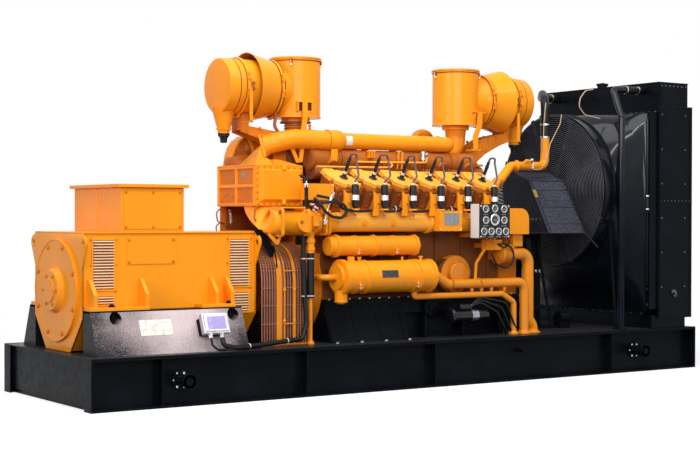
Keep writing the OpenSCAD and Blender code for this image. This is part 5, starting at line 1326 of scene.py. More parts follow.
def intercooler_trim():
    """Bolts, rims, knobs and drain loops of the intercooler, sheets of painted shade in its end
    recesses and on its stand, and the stand's fittings.
    """
    bolts = Piece("intercooler_bolts", "amber_dark")
    knobs = Piece("intercooler_knobs", "amber")
    rims = Piece("intercooler_rims", "amber", 0.002)
    # Thin darker sheets on the end recess floors: painted shade.
    panels = Piece("intercooler_recess_shade", "amber_dark", 0.001)
    plate = Piece("intercooler_plate", "grey_plate", 0.0005)
    loops = Piece("intercooler_drain_loops", "exhaust")
    x0, x1, z0, z1, half = -1.41, -0.964, 1.475, 1.801, 0.3
    for side in SIDES:
        rims.frame((x0 + 0.004, min(side * half, side * 0.308), z0 + 0.004),
            (x1 - 0.004, max(side * half, side * 0.308), z1 - 0.004), 0.03)
        for k in range(8):
            x = x0 + 0.025 + k * (x1 - x0 - 0.05) / 7
            bolts.bolt_grid(x, side * 0.308, (z0 + 0.018, z1 - 0.018), (0, side, 0), 0.0065)
        for k in range(5):
            bolts.bolt_grid((x0 + 0.018, x1 - 0.018), side * 0.308,
                z0 + 0.06 + k * (z1 - z0 - 0.12) / 4, (0, side, 0), 0.007)
        for z in (z0 + 0.01, z1 - 0.04):
            knobs.lathe([(0, 0.01), (0.008, 0.018), (0.034, 0.018), (0.046, 0.01)],
                (-1.158, side * 0.33, z), Z, 20)
        for k in range(9):
            bolts.bolt((x0, side * (0.014 + k * 0.034), z1 - 0.01), -X, 0.0075)
            bolts.bolt((x0, side * (0.014 + k * 0.034), z0 + 0.01), -X, 0.0085)
        for row in (0, 1):
            low_z = z0 + 0.026 + row * 0.15
            panels.box((x0 + 0.0062, side * 0.013, low_z), (x0 + 0.0095, side * 0.274, low_z + 0.124))
    lip = 0.0075
    for z in (z0 + 0.001, z0 + 0.15, z1 - 0.027):
        rims.box((x0 - lip, -half + 0.001, z), (x0 + 0.001, half - 0.001, z + 0.026))
    for y in (-half, -0.013, half - 0.026):
        rims.box((x0 - lip + 0.001, y + 0.0005, z0 + 0.002), (x0 + 0.001, y + 0.0255, z1 - 0.002))
    rims.box((x0 - 0.012, -half - 0.004, z1 - 0.002), (x1 + 0.004, half + 0.004, z1 + 0.0035))
    plate.box((x0 + 0.003, -0.15, 1.7), (x0 + 0.0065, -0.085, 1.752))
    loops.pipe([(-1.36, -0.3, 1.48), (-1.43, -0.34, 1.46), (-1.445, -0.35, 1.38), (-1.42, -0.36, 1.33),
        (-1.4, -0.38, 1.3)], 0.0075, 0.03, 10)
    for y, z, reach in ((0.22, 1.44, 0.06), (0.2, 1.33, 0.075)):
        loops.pipe([(x0 + 0.03, y, z), (x0 - 0.4 * reach, y, z + 0.02), (x0 - reach, y, z - 0.02),
            (x0 - 0.8 * reach, y, z - 0.09), (x0 + 0.02, y, z - 0.11)], 0.006, 0.03, 10)
    # A dark sheet inside the stand's far plate, and a black one on its near side: painted shade.
    shade_sheet = Piece("stand_far_shade", "head_shaded_cast")
    lever = Piece("stand_valve", "steel")
    shade_sheet.box((-1.352, 0.2655, 1.188), (-0.88, 0.2675, 1.474))
    shade = Piece("stand_near_shade", "rubber")
    shade.box((-1.024, -0.2905, 1.165), (-0.868, -0.2885, 1.372))
    lever.lathe([(0, 0.006), (0.006, 0.015), (0.022, 0.017), (0.034, 0.01)], (-1.33, 0.255, 1.44), -Y,
        16)
    lever.rod((-1.33, 0.246, 1.44), (-1.322, 0.246, 1.33), 0.0045, sides=8)
    lever.rod((-1.318, 0.25, 1.42), (-1.306, 0.25, 1.34), 0.006, sides=8)


turbochargers()
exhaust_trim()
charge_air()
hoods()
throttle_duct()
intercooler_trim()


# ---------------------------------------------------------------- air cleaners

DRUM_X, DRUM_Z, DRUM_R, FILTER_Z, FILTER_R = 0.845, 2.206, 0.207, 2.44, 0.226


def latch(piece, middle, turn, r):
    """Over-centre catch of a clamp band: a bent lever along the band and two pins across it."""
    out = Vector((0, sin(turn), cos(turn)))
    along = Vector((0, -cos(turn), sin(turn))) * (-1 if turn < 0 else 1)
    place = middle + out * r
    piece.tube([place - along * 0.034, place + out * 0.01 - along * 0.016,
        place + out * 0.012 + along * 0.014, place + along * 0.04], 0.0065, 8)
    for step in (-0.022, 0.026):
        cross = place + out * 0.009 + along * step
        piece.rod(cross - X * 0.017, cross + X * 0.017, 0.0055, sides=8)


def filters():
    """Canisters with their bands, rain collars, dished ends, dust funnels and rubber valves."""
    bodies = Piece("filter_canisters", "amber", replaces="air_cleaner_filters", smooth=32)
    collars = Piece("filter_rain_collars", "amber")
    # Inner faces of the rain collars in dark exhaust brown: painted shade.
    shade_sheet = Piece("collar_inner_shade", "exhaust")
    clamps = Piece("filter_clamps", "amber", 0.0008)
    dark = Piece("filter_catches", "exhaust")
    # Dark rings beside the bands and the bead: painted shadow lines.
    seams = Piece("filter_band_shadows", "shadow_brown")
    valves = Piece("dust_valves", "rubber", replaces="air_cleaner_filters")
    for side in (-1, 1):
        start, way = Vector((side * DRUM_X, 0, FILTER_Z)), Vector((side, 0, 0))
        bodies.lathe([(0.11, 0.16), (0.15, 0.177), (0.205, 0.182), (0.246, 0.212), (0.248, 0.236),
            (0.27, 0.236), (0.272, 0.226), (0.561, 0.226), (0.563, 0.233), (0.589, 0.233),
            (0.591, 0.226), (0.628, 0.226), (0.63, 0.229), (0.64, 0.229), (0.642, 0.226),
            (0.724, 0.226), (0.735, 0.2235), (0.741, 0.217), (0.7425, 0.208)], start, way, 72)
        collars.lathe([(0.262, 0.2285), (0.48, 0.2815), (0.484, 0.2835), (0.484, 0.279),
            (0.268, 0.2265)], start, way, 72, closed=True)
        for x in (0.259, 0.576):
            clamps.lathe([(-0.012, 0.2345), (-0.012, 0.2375), (-0.008, 0.24), (0.008, 0.24),
                (0.012, 0.2375), (0.012, 0.2345)], start + way * x, way, 64, closed=True)
            for turn in (-1.8, -1.27, 1.45, 3.3):
                latch(clamps, start + way * x, turn, 0.24)
            for edge in (-0.0165, 0.0165):
                seams.ring(start + way * (x + edge), X, 0.2375 if x < 0.3 else 0.2285, 0.004, 0.0055,
                    64)
        seams.ring(start + way * 0.6455, X, 0.2278, 0.004, 0.005, 64)
        latch(dark, start + way * 0.54, -1.6, 0.23)
        shade_sheet.lathe([(0.27, 0.2263), (0.478, 0.2785), (0.48, 0.2765), (0.272, 0.2243)], start, way, 72,
            closed=True)
        strut_x, strut_top = (-1.418, 2.4) if side < 0 else (1.368, 2.33)
        clamps.box((strut_x - 0.014, -0.256, strut_top - 0.25), (strut_x + 0.014, -0.248, strut_top))
        clamps.box((strut_x - 0.024, -0.256, strut_top - 0.258),
            (strut_x + 0.024, -0.18, strut_top - 0.25))
        clamps.rod((strut_x, -0.258, strut_top - 0.24), (strut_x, -0.266, strut_top - 0.24), 0.01,
            sides=6)
        foot = start + way * 0.681 - Z * (FILTER_R + 0.15)
        bodies.lathe([(0, 0.044), (0.02, 0.05), (0.15, 0.085), (0.2, 0.105)], foot, Z, 40)
        bodies.lathe([(0.022, 0.052), (0.024, 0.06), (0.034, 0.062), (0.038, 0.055)], foot, Z, 40)
        valves.lathe([(-0.03, 0.04), (-0.026, 0.046), (-0.004, 0.048), (0.004, 0.0475), (0.006, 0.044)],
            foot, Z, 32)
        valves.lathe([(-0.08, 0.02), (-0.074, 0.028), (-0.045, 0.03), (-0.03, 0.038)], foot, Z, 32)
        clamps.ring(foot + Z * 0.001, Z, 0.05, 0.003, 0.009, 36)


def drums():
    """Lid clips, seams, ribbed and flared necks, brackets and the straps that hold the drums."""
    trim = Piece("drum_seams", "amber", 0.001, smooth=40)
    steel = Piece("drum_clips", "amber", 0.001)
    # Painted shadow lines at the foot and under the lid, painted shadow behind the clips, and painted
    # shade in the strap's notch.
    black = Piece("drum_shadows", "shadow_brown", 0.0005)
    straps = Piece("drum_straps", "amber", 0.0015)
    # The ribbed neck and its small pipe take the dark exhaust brown as painted shade.
    neck = Piece("drum_neck_shaded", "exhaust", 0.001)
    # Hooks in near-white amber: painted highlight.
    hooks = Piece("lid_hooks", "amber_light", 0.0005)
    for side in (-1, 1):
        x = side * DRUM_X
        top = DRUM_Z + 0.496
        trim.lathe([(0, DRUM_R + 0.001), (0.003, DRUM_R + 0.008), (0.009, DRUM_R + 0.008),
            (0.012, DRUM_R + 0.001)], (x, 0, top - 0.028), Z, 64)
        trim.lathe([(-0.001, 0.15), (0.004, 0.146), (0.004, 0.05), (0.01, 0.04)], (x, 0, top - 0.0095),
            Z, 56)
        trim.lathe([(0, 0.022), (0.008, 0.022), (0.009, 0.012)], (x, 0, top - 0.0095), Z, 6)
        black.ring((x, 0, DRUM_Z + 0.004), Z, DRUM_R + 0.0012, 0.006, 0.008, 64)
        black.ring((x, 0, top - 0.0315), Z, DRUM_R + 0.0012, 0.006, 0.005, 64)
        for turn in (0.8, 2.4, 3.98, 5.6) if side < 0 else (1.5, 3.05, 5.55):
            out = Vector((cos(turn), sin(turn), 0))
            seat = Vector((x, 0, top - 0.045)) + out * (DRUM_R + 0.004)
            place = Matrix.Translation(seat) @ basis(out)
            black.box((-0.011, -0.012, -0.006), (0.011, 0.026, 0.004), place)
            hooks.box((-0.01, -0.03, -0.005), (0.01, -0.012, 0.01), place)
            hooks.rod(place @ Vector((0, -0.022, 0.006)), place @ Vector((0, 0.02, 0.01)), 0.004,
                sides=8)
    for k in range(6):
        neck.ring((-DRUM_X, 0, 2.062 + k * 0.021), Z, 0.0955, 0.01, 0.011, 48)
    neck.lathe([(-0.03, 0.093), (-0.026, 0.13), (-0.014, 0.13), (-0.012, 0.115), (0.004, 0.115)],
        (-DRUM_X, 0, 2.192), Z, 48)
    trim.lathe([(0, 0.089), (0.05, 0.094), (0.075, 0.108), (0.084, 0.121), (0.092, 0.121)],
        (DRUM_X, 0, 2.114), Z, 48)
    for x, turn in ((-DRUM_X, 1), (DRUM_X, -1)):
        trim.ring((x + turn * 0.118, 0, TURBO_Z), X, 0.0945, 0.008, 0.022, 44)
        steel.ring((x + turn * 0.15, 0, TURBO_Z), X, 0.0935, 0.007, 0.012, 44)
    black.box((-0.944, -0.2085, 2.262), (-0.822, -0.165, 2.327))
    straps.box((-0.955, -0.219, 2.326), (-0.81, -0.165, 2.334))
    for x in (-0.955, -0.822):
        straps.slab_y([(x, 2.25), (x + 0.011, 2.262), (x + 0.011, 2.328), (x, 2.328)], -0.215, -0.165)
    straps.slab_y([(-0.92, 2.334), (-0.872, 2.334), (-0.872, 2.2), (-0.886, 2.095), (-0.934, 2.095),
        (-0.919, 2.2)], -0.233, -0.222)
    straps.slab_y([(0.872, 2.332), (1.01, 2.326), (1.01, 2.314), (0.872, 2.32)], -0.218, -0.15)
    straps.slab_y([(0.884, 2.262), (0.902, 2.318), (0.922, 2.318), (0.9, 2.262)], -0.206, -0.188)
    straps.slab_y([(0.924, 2.322), (0.978, 2.322), (0.972, 2.205), (0.925, 2.1), (0.928, 1.985),
        (0.882, 1.985), (0.87, 2.105), (0.92, 2.215)], -0.222, -0.212)
    straps.box((0.868, -0.222, 1.98), (0.96, -0.12, 1.992))
    neck.pipe([(-1.095, -0.1, 2.235), (-1.11, -0.1, 2.13), (-1.06, -0.105, 2.06), (-1.02, -0.11, 2.04)],
        0.014, 0.06, 12, 6)
    bolts = Piece("arm_bolts", "amber_dark")
    for side, y in ((1, 0.086), (1, -0.086), (-1, 0.086), (-1, -0.086)):
        for dx, z in ((1.05, 2.075), (1.24, 2.125)):
            bolts.bolt((side * dx, y, z - (0.0 if side > 0 else 0.02)), (0, copysign(1, y), 0), 0.01)
    bolts.bolt_grid(0.926, (-0.2, -0.11, 0.11, 0.2), 1.86, Z, 0.011)


filters()
drums()


# ---------------------------------------------------------------- coolers and pipes

PIPE_Y, COOLER_Y, CABLE_R = -0.61, -0.56, 0.019


def strap_clamp(bands, bright, x, y, z, r, wide=0.022):
    """Band about a horizontal canister, drawn tight by a bolt on its near side."""
    bands.ring((x, y, z), X, r + 0.005, 0.006, wide, 56)
    for dz in (-0.01, 0.01):
        bands.box((x - wide / 2, y - r - 0.022, z - r * 0.55 + dz - 0.004),
            (x + wide / 2, y - r * 0.8, z - r * 0.55 + dz + 0.004))
    bright.bolt((x, y - r * 0.96, z - r * 0.55 - 0.014), -Z, 0.008)
    bright.rod((x, y - r * 0.96, z - r * 0.55 - 0.01), (x, y - r * 0.96, z - r * 0.55 + 0.024), 0.005,
        sides=10)


def coolers():
    """Strap clamps, end covers, caps and the bare plate of the oil cooler and heat exchanger."""
    bands = Piece("cooler_bands", "amber", 0.001)
    bright = Piece("cooler_clamp_bolts", "steel")
    plate = Piece("cooler_plate", "dark_plate", 0.0005)
    ends = Piece("cooler_ends", "amber", 0.0008)
    y, z, r = COOLER_Y, 1.158, 0.08
    for x in (-0.64, -0.26):
        strap_clamp(bands, bright, x, y, z, r)
    for x in (-0.825, -0.454, -0.041):
        ends.bolt_ring((x + 0.011, y, z), X, r + 0.004, 8, 0.006)
    ends.lathe([(0, 0.076), (0.006, 0.08), (0.014, 0.072), (0.016, 0.03), (0.03, 0.028)],
        (-0.031, y, z), X, 48)
    ends.lathe([(0, 0.076), (0.006, 0.078), (0.014, 0.068)], (-0.884, y, z), -X, 48)
    y, z, r = PIPE_Y, 0.908, 0.13
    for x in (-0.69, -0.115):
        strap_clamp(bands, bright, x, y, z, r, 0.028)
    ends.lathe([(0, 0.14), (0.02, 0.14), (0.022, 0.132)], (-0.817, y, z), X, 56)
    ends.bolt_ring((-0.786, y, z), X, 0.137, 10, 0.007)
    ends.bolt_ring((0.086, y, z), X, 0.112, 8, 0.01)
    ends.lathe([(0, 0.128), (0.01, 0.124), (0.018, 0.09), (0.026, 0.056), (0.034, 0.052)],
        (0.084, y, z), X, 48)
    for x in (-0.62, 0.0):
        ends.lathe([(0, 0.014), (0.02, 0.014), (0.022, 0.02), (0.034, 0.02)], (x, y, z + r - 0.002), Z,
            6)
    plate.slab_x([(-0.7335, 0.962), (-0.7365, 0.962), (-0.7435, 0.905), (-0.7415, 0.902)], -0.48, -0.32)
    ends.rod((-0.19, y, 1.036), (-0.19, y, 1.066), 0.009, sides=16)


def water_pipes():
    """Runs beside the bed, with their foot flanges, clamps and small taps."""
    pipes = Piece("water_pipe_runs", "amber_deep", replaces="water_pipes", smooth=50)
    flanges = Piece("water_pipe_flanges", "amber_deep", 0.0008)
    steel = Piece("water_pipe_clamps", "amber_dark", 0.0005)
    y, x1, z = PIPE_Y, 0.095, 0.908
    small_x, lower_x, upper_x = 1.01, 1.13, 1.265
    pipes.pipe([(x1 - 0.012, y, z), (x1 + 0.06, y, z), (x1 + 0.19, y, z - 0.078),
        (lower_x, y, z - 0.078), (lower_x, y, DECK_Z)], 0.04, 0.075, 32, 14)
    pipes.pipe([(0.975, COOLER_Y, 1.075), (1.215, COOLER_Y, 1.075), (1.215, COOLER_Y, 0.5),
        (upper_x, COOLER_Y, 0.44), (upper_x, COOLER_Y, DECK_Z)], 0.052, 0.085, 36, 14)
    pipes.pipe([(-0.067, y, 0.78), (-0.067, y, 0.733), (0.88, y, 0.733), (small_x, y, 0.658),
        (small_x, y, DECK_Z)], 0.026, 0.045, 24, 10)
    pipes.pipe([(-0.85, y, z), (-0.955, y, z), (-0.955, -0.43, z)], 0.026, 0.06, 24, 10)
    pipes.rod((DRAIN_X, DRAIN_Y, DECK_Z), (DRAIN_X, DRAIN_Y, 0.75), 0.016)
    for x, r in ((0.109, 0.058), (0.32, 0.05), (0.62, 0.05)):
        steel.ring((x, y, z if x < 0.2 else z - 0.078), X, r - 0.003, 0.01, 0.014, 36)
    for x, y0, r in ((lower_x, y, 0.06), (upper_x, COOLER_Y, 0.074), (small_x, y, 0.044),
            (DRAIN_X, DRAIN_Y, 0.032)):
        flanges.lathe([(0, r), (0.012, r), (0.013, r * 0.8), (0.03, r * 0.72)], (x, y0, DECK_Z), Z, 36)
        flanges.bolt_ring((x, y0, DECK_Z + 0.012), Z, r * 0.88, 4, 0.006, 0.5)
    flanges.ring((0.984, COOLER_Y, 1.075), X, 0.088, 0.04, 0.018, 44)
    flanges.bolt_ring((0.993, COOLER_Y, 1.075), X, 0.073, 8, 0.008)
    flanges.lathe([(-0.004, 0.074), (0.002, 0.086), (0.01, 0.09), (0.028, 0.09)],
        (0.865, COOLER_Y, 1.075), X, 44)
    flanges.lathe([(0, 0.056), (0.01, 0.056), (0.011, 0.04), (0.022, 0.034)], (-0.794, y, 0.7185), -Z,
        32)
    for k, x in enumerate((0.545, 0.65, 0.76, 0.905)):
        drop = 0.012 * (k % 2)
        flanges.rod((x, y, 0.757), (x, y, 0.8 - drop), 0.012, sides=14)
        flanges.lathe([(0, 0.017), (0.022, 0.017), (0.024, 0.012)], (x, y, 0.77), Z, 6)
        flanges.rod((x - 0.03, y - 0.004, 0.806 - drop), (x + 0.022, y - 0.004, 0.812 - drop), 0.0055,
            sides=8)


def hoses():
    """The loom from the junction box round the guard, the drain hose and their pale ties."""
    rubber = Piece("guard_hose_runs", "rubber", replaces="guard_hoses", smooth=50)
    ties = Piece("hose_ties", "white")
    top = INTAKE_Z - INTAKE_R - CABLE_R - 0.0003
    down, across = -sin(PEDESTAL_LEAN), -cos(PEDESTAL_LEAN)
    rise_x, inner, outer = -1.107, CABLE_R + 0.0005, CABLE_R + 0.0025
    tip = Vector((-1.96, -0.7556, 0.4842))
    rubber.pipe([(-1.15, -0.53, top), (rise_x, -0.535, top), (rise_x, -0.55, 0.82),
        (-1.092, -0.568, 0.56), (-1.14, -0.58, 0.43), (-1.56, -0.65, 0.406), (-1.84, -0.76, 0.404),
        tip + 0.06 * Vector((0, down, across)), tip], CABLE_R, 0.045, 20, 10)
    rubber.rod((DRAIN_X, DRAIN_Y, 0.748), (DRAIN_X, DRAIN_Y, 1.107), 0.0285, sides=28)
    tip = Vector((-2.055, -0.7556, 0.4842))
    rubber.pipe([tip, tip + 0.05 * Vector((0, down, across)), (-2.02, -0.79, 0.4),
        (-1.9, -0.782, 0.396), (-1.7, -0.72, 0.398)], 0.009, 0.03, 12, 6)
    for z in (0.764, 1.06):
        ties.ring((DRAIN_X, DRAIN_Y, z), Z, 0.0305, 0.002, 0.007, 32)
        ties.lathe([(-0.0035, inner), (-0.0035, outer), (0.0035, outer), (0.0035, inner)],
            (rise_x, -0.5425 - (1.1 - z) * 0.02, z), Z, 24, closed=True)
        ties.box((-1.092, -0.577, z - 0.003), (-1.055, -0.574, z + 0.003))
    for x, y in ((-1.3, -0.6067), (-1.7, -0.705)):
        ties.lathe([(-0.004, inner), (-0.004, outer), (0.004, outer), (0.004, inner)],
            (x, y, 0.422 if x > -1.5 else 0.4055), (1, 0.2, 0.05), 24, closed=True)


coolers()
water_pipes()
hoses()


# ---------------------------------------------------------------- instruments, boxes and starter


def dial(rims, faces, marks, x, z, r, y):
    """Round gauge with a rim, a needle and nine bare ticks."""
    rims.lathe([(-0.002, r), (0.008, r), (0.011, r * 0.93), (0.01, r * 0.8), (0.004, r * 0.77),
        (0.004, r * 0.7), (-0.002, r * 0.7)], (x, y, z), -Y, 36, closed=True)
    faces.rod((x, y + 0.001, z), (x, y - 0.003, z), r * 0.76, sides=32)
    turn = Matrix.Rotation(0.8 + 9 * x + 5 * z, 4, "Y")
    needle = Matrix.Translation((x, 0, z)) @ turn @ Matrix.Translation((-x, 0, -z))
    marks.box((x - r * 0.05, y - 0.0045, z - r * 0.05), (x + r * 0.55, y - 0.003, z + r * 0.05), needle)
    marks.rod((x, y - 0.002, z), (x, y - 0.006, z), r * 0.16, sides=14)
    for k in range(9):
        a = radians(-225 + 270 * k / 8)
        px, pz = x - r * 0.6 * cos(a), z - r * 0.6 * sin(a)
        marks.box((px - 0.0012, y - 0.004, pz - 0.0022), (px + 0.0012, y - 0.003, pz + 0.0022))


def instrument_panel():
    """White case, black front, dials without numbers, bare marks, screws and the bracket."""
    x0, x1, z0, z1, y = 0.453, 0.781, 1.217, 1.502, -0.822
    rims = Piece("dial_rims", "steel", smooth=40)
    faces = Piece("dial_faces", "dark_plate")
    marks = Piece("dial_marks", "grey_plate")
    front = Piece("panel_front", "panel_black", 0.001, replaces="instrument_panel")
    case = Piece("panel_case", "white", 0.004, replaces="instrument_panel")
    steel = Piece("panel_screws", "steel")
    case.box((x0, y + 0.004, z0), (x1, -0.703, z1))
    front.box((x0 + 0.003, y - 0.001, z0 + 0.003), (x1 - 0.003, y + 0.005, z1 - 0.003))
    front.frame((x0, y - 0.004, z0), (x1, y + 0.005, z1), 0.006)
    small, large = 0.033, 0.049
    for dx, dz, r in ((0.064, 0.04, small), (0.164, 0.036, small), (0.264, 0.04, small),
            (0.066, 0.134, small), (0.165, 0.13, large), (0.266, 0.134, small), (0.047, 0.229, small),
            (0.126, 0.229, small), (0.206, 0.229, small), (0.284, 0.229, small)):
        dial(rims, faces, marks, x0 + dx, z1 - dz, r, y)
    for dx, dz, half in ((0.064, 0.086, 0.02), (0.264, 0.086, 0.02), (0.066, 0.182, 0.03),
            (0.264, 0.182, 0.03), (0.047, 0.274, 0.02), (0.126, 0.274, 0.026), (0.206, 0.274, 0.026),
            (0.284, 0.274, 0.022), (0.164, 0.077, 0.016)):
        marks.box((x0 + dx - half, y - 0.002, z1 - dz - 0.003), (x0 + dx + half, y, z1 - dz + 0.003))
    for x in (x0 + 0.014, x1 - 0.014):
        for z in (z0 + 0.014, z1 - 0.016):
            steel.lathe([(0, 0.008), (0.005, 0.008), (0.007, 0.004)], (x, y - 0.001, z), -Y, 12)
    arm = Piece("panel_bracket", "amber", 0.002, replaces="instrument_panel")
    arm.box((x0 + 0.12, -0.704, z0 + 0.003), (x0 + 0.2, -0.4, z0 + 0.045))
    arm.box((x0 + 0.04, -0.712, z0 - 0.004), (x1 - 0.04, -0.704, z0 + 0.06))


def boxes_trim():
    """Label, screws, cable glands and cables of the near side's boxes, and the intakes' bolts."""
    plate = Piece("speed_box_label", "grey_plate", 0.0005)
    steel = Piece("box_screws", "steel")
    rubber = Piece("box_cables", "rubber")
    bolts = Piece("intake_bolts", "amber")
    plate.box((0.186, -0.6925, 1.325), (0.342, -0.6895, 1.425))
    for x in (0.149, 0.361):
        for z in (1.29, 1.431):
            steel.lathe([(0, 0.006), (0.004, 0.006), (0.006, 0.003)], (x, -0.69, z), -Y, 12)
    for x in (0.18, 0.24, 0.3):
        rubber.rod((x, -0.652, 1.277), (x, -0.652, 1.262), 0.012, sides=14)
    for x in (-1.078, -0.842):
        for z in (1.537, 1.643):
            steel.lathe([(0, 0.006), (0.004, 0.006), (0.006, 0.003)], (x, -0.56, z), -Y, 12)
    rubber.pipe([(0.8, -0.64, 1.16), (0.86, -0.655, 1.165), (0.965, -0.65, 1.13), (0.985, -0.645, 1.02),
        (0.915, -0.64, 0.95), (0.8, -0.632, 0.985), (0.755, -0.622, 1.075)], 0.0085, 0.07, 12, 8)
    rubber.pipe([(0.86, -0.7, 1.225), (0.9, -0.69, 1.18), (0.88, -0.66, 1.13), (0.82, -0.64, 1.15)],
        0.007, 0.03, 10, 6)
    for x in (0.705, 0.77, 0.835):
        bolts.bolt((x, -0.64, 1.178), -Y, 0.009)
        bolts.bolt((x, -0.64, 1.13), -Y, 0.007)
    bolts.pipe([(0.74, -0.6, 1.14), (0.686, -0.6, 1.11), (0.6, -0.6, 1.0), (0.59, -0.6, 0.86)], 0.013,
        0.03, 12, 5)
    for x in (0.72, 0.76, 0.8):
        bolts.rod((x, -0.6, 1.198), (x, -0.6, 1.222), 0.009, sides=12)
    bolts.bolt_grid(0.905, -0.571, (1.3, 1.42), -X, 0.01)
    bolts.lathe([(0, 0.02), (0.018, 0.02), (0.02, 0.014), (0.034, 0.014)], (0.93, -0.6, 1.247), -Z, 6)
    for side in SIDES:
        bolts.bolt_ring((0.13, side * -INTAKE_Y, INTAKE_Z), X, 0.087, 8, 0.007, 0.2)
        bolts.rod((0.796, side * -INTAKE_Y, INTAKE_Z), (0.806, side * -INTAKE_Y, INTAKE_Z), 0.07,
            sides=40)
        bolts.bolt_ring((0.806, side * -INTAKE_Y, INTAKE_Z), X, 0.055, 6, 0.008)
        for x in (-0.565, -0.28, 0.45):
            bolts.lathe([(0, 0.026), (0.01, 0.026), (0.011, 0.018), (0.02, 0.017)],
                (x, side * 0.606, 1.34), (0, side, -0.12), 20)
        for x in CYLINDERS:
            for dx in (-0.03, 0.03):
                bolts.bolt((x + dx, side * 0.594, 1.386), (0, side, 0.1), 0.008)


def starter():
    """Motor with its solenoid, grey bands and cables."""
    body = Piece("starter_body", "plastic", 0.001, replaces="starter_motor")
    band = Piece("starter_bands", "starter_band", 0.0005)
    cables = Piece("starter_cables", "rubber")
    y, z = PIPE_Y, 0.56
    body.lathe([(0.3, 0.052), (0.304, 0.062), (0.318, 0.068), (0.331, 0.068), (0.334, 0.046),
        (0.64, 0.046), (0.645, 0.042), (0.7, 0.042), (0.712, 0.036), (0.72, 0.022)], (0, y, z), X, 40)
    body.lathe([(0, 0.024), (0.004, 0.028), (0.12, 0.028), (0.126, 0.022)], (0.4, y - 0.006, z + 0.072),
        X, 28)
    body.box((0.36, y + 0.04, z - 0.025), (0.56, -0.405, z + 0.025))
    band.ring((0.56, y, z), X, 0.0475, 0.003, 0.07, 36)
    band.ring((0.338, y, z), X, 0.0475, 0.003, 0.008, 36)
    band.rod((0.524, y - 0.006, z + 0.086), (0.54, y - 0.006, z + 0.086), 0.007, sides=12)
    for k in range(3):
        cables.pipe([(0.53, y - 0.006 + 0.01 * k, z + 0.075), (0.62, y - 0.02, z + 0.11 + 0.02 * k),
            (0.8 + 0.05 * k, y - 0.03, z + 0.02 + 0.04 * k), (0.9 + 0.06 * k, y - 0.02, 0.43),
            (0.95 + 0.06 * k, y + 0.03, 0.384)], 0.009, 0.08, 12, 8)


instrument_panel()
boxes_trim()
starter()


# ---------------------------------------------------------------- fan and its guard

FAN_X, FAN_Z, FAN_R = 2.0, 1.645, 0.705
RING_DEPTH, CORE_X, SHEET = 0.13, 2.47, 0.006
BLADE_ROOT, BLADE_TIP, BLADES, STATIONS = 0.108, 0.669, 8, 7
GUARD_EYE, GUARD_WIRES = 0.146, 30


def fan():
    """Twisted, cambered blades on a hub with a bolt at each."""
    blades = Piece("fan_blades", "black", replaces="fan", smooth=60)
    hub = Piece("fan_hub", "black", replaces="fan")
    x = FAN_X + 0.09
    for turn in turns(BLADES):
        spin = Matrix.Translation((x, 0, FAN_Z)) @ Matrix.Rotation(turn, 4, "X")
        rows = []
        for i in range(STATIONS):
            t = i / (STATIONS - 1)
            r = BLADE_ROOT + t * (BLADE_TIP - BLADE_ROOT)
            chord = 0.15 + 0.055 * sin(pi * min(1, t * 1.1)) * (1 - 0.3 * t)
            pitch = radians(46 - 20 * t)
            back = [(u, 1) for u in (0, 0.12, 0.3, 0.5, 0.7, 0.88, 1.0)]
            front = [(u, -1) for u in (0.88, 0.7, 0.5, 0.3, 0.12)]
            section = [(u - 0.5, 0.055 * sin(pi * u) + face * 0.018 * sin(pi * u) ** 0.5)
                for u, face in back + front]
            rows.append([(-chord * (a * sin(pitch) - b * cos(pitch)),
                chord * (a * cos(pitch) + b * sin(pitch)), r) for a, b in section])
        blades.skin(rows, spin)
        hub.bolt(spin @ Vector((-0.05, 0.0, 0.088)), -X, 0.01)
    hub.lathe([(-0.05, 0.0403), (-0.05, 0.112), (-0.044, 0.12), (0.044, 0.12), (0.05, 0.112),
        (0.05, 0.0403)], (x, 0, FAN_Z), X, 56, closed=True)


def fan_guard():
    """Concentric wires on pairs of radial bars, an inner band, and lugs bolted to the ring."""
    wires = Piece("fan_guard_wires", "wire_grey", replaces="fan_guard", smooth=60)
    bars = Piece("fan_guard_bars", "wire_dark", 0.0006, replaces="fan_guard")
    bolts = Piece("fan_guard_bolts", "black")
    x = FAN_X - 0.006
    for k in range(GUARD_WIRES + 1):
        r = GUARD_EYE + (FAN_R - 0.01 - GUARD_EYE) * k / GUARD_WIRES
        wires.tube([(x, r * sin(a), FAN_Z + r * cos(a)) for a in turns(72)], 0.0022, 5, loop=True)
    for k in range(8):
        a = pi * (k + 0.5) / 4
        place = Matrix.Translation((x + 0.004, 0, FAN_Z)) @ Matrix.Rotation(a, 4, "X")
        for shift in (-0.012, 0.012):
            bars.box((-0.003, shift - 0.003, 0.144), (0.003, shift + 0.003, FAN_R - 0.004), place)
        bars.box((-0.004, -0.022, FAN_R - 0.03), (0.003, 0.022, FAN_R + 0.018), place)
        bolts.bolt(place @ Vector((-0.004, 0, FAN_R + 0.004)), -X, 0.008)
    bars.ring((x + 0.003, 0, FAN_Z), X, 0.152, 0.01, 0.009, 56)


def shroud_wall(shrink):
    """Sections of the form between ring and core: arcs of the circle drawn to four corners."""
    steps = 5
    x0, x1 = FAN_X + RING_DEPTH + 0.0003, CORE_X - 0.0005
    half_y, low, high, r = 0.762 - shrink, 0.52 + shrink, 2.345 - shrink, FAN_R - shrink
    corners = [(half_y, high), (-half_y, high), (-half_y, low), (half_y, low)]
    pairs = []
    for q, corner in enumerate(corners):
        for k in range(13):
            a = pi / 2 * (q + k / 12)
            pairs.append(((r * cos(a), FAN_Z + r * sin(a)), corner))
    rows = []
    for i in range(steps + 1):
        t = i / steps
        ease = t + 0.1 * sin(2 * pi * t) * (t < 1)
        rows.append([(x0 + (x1 - x0) * t, a[0] + (b[0] - a[0]) * ease, a[1] + (b[1] - a[1]) * ease)
            for a, b in pairs])
    return rows


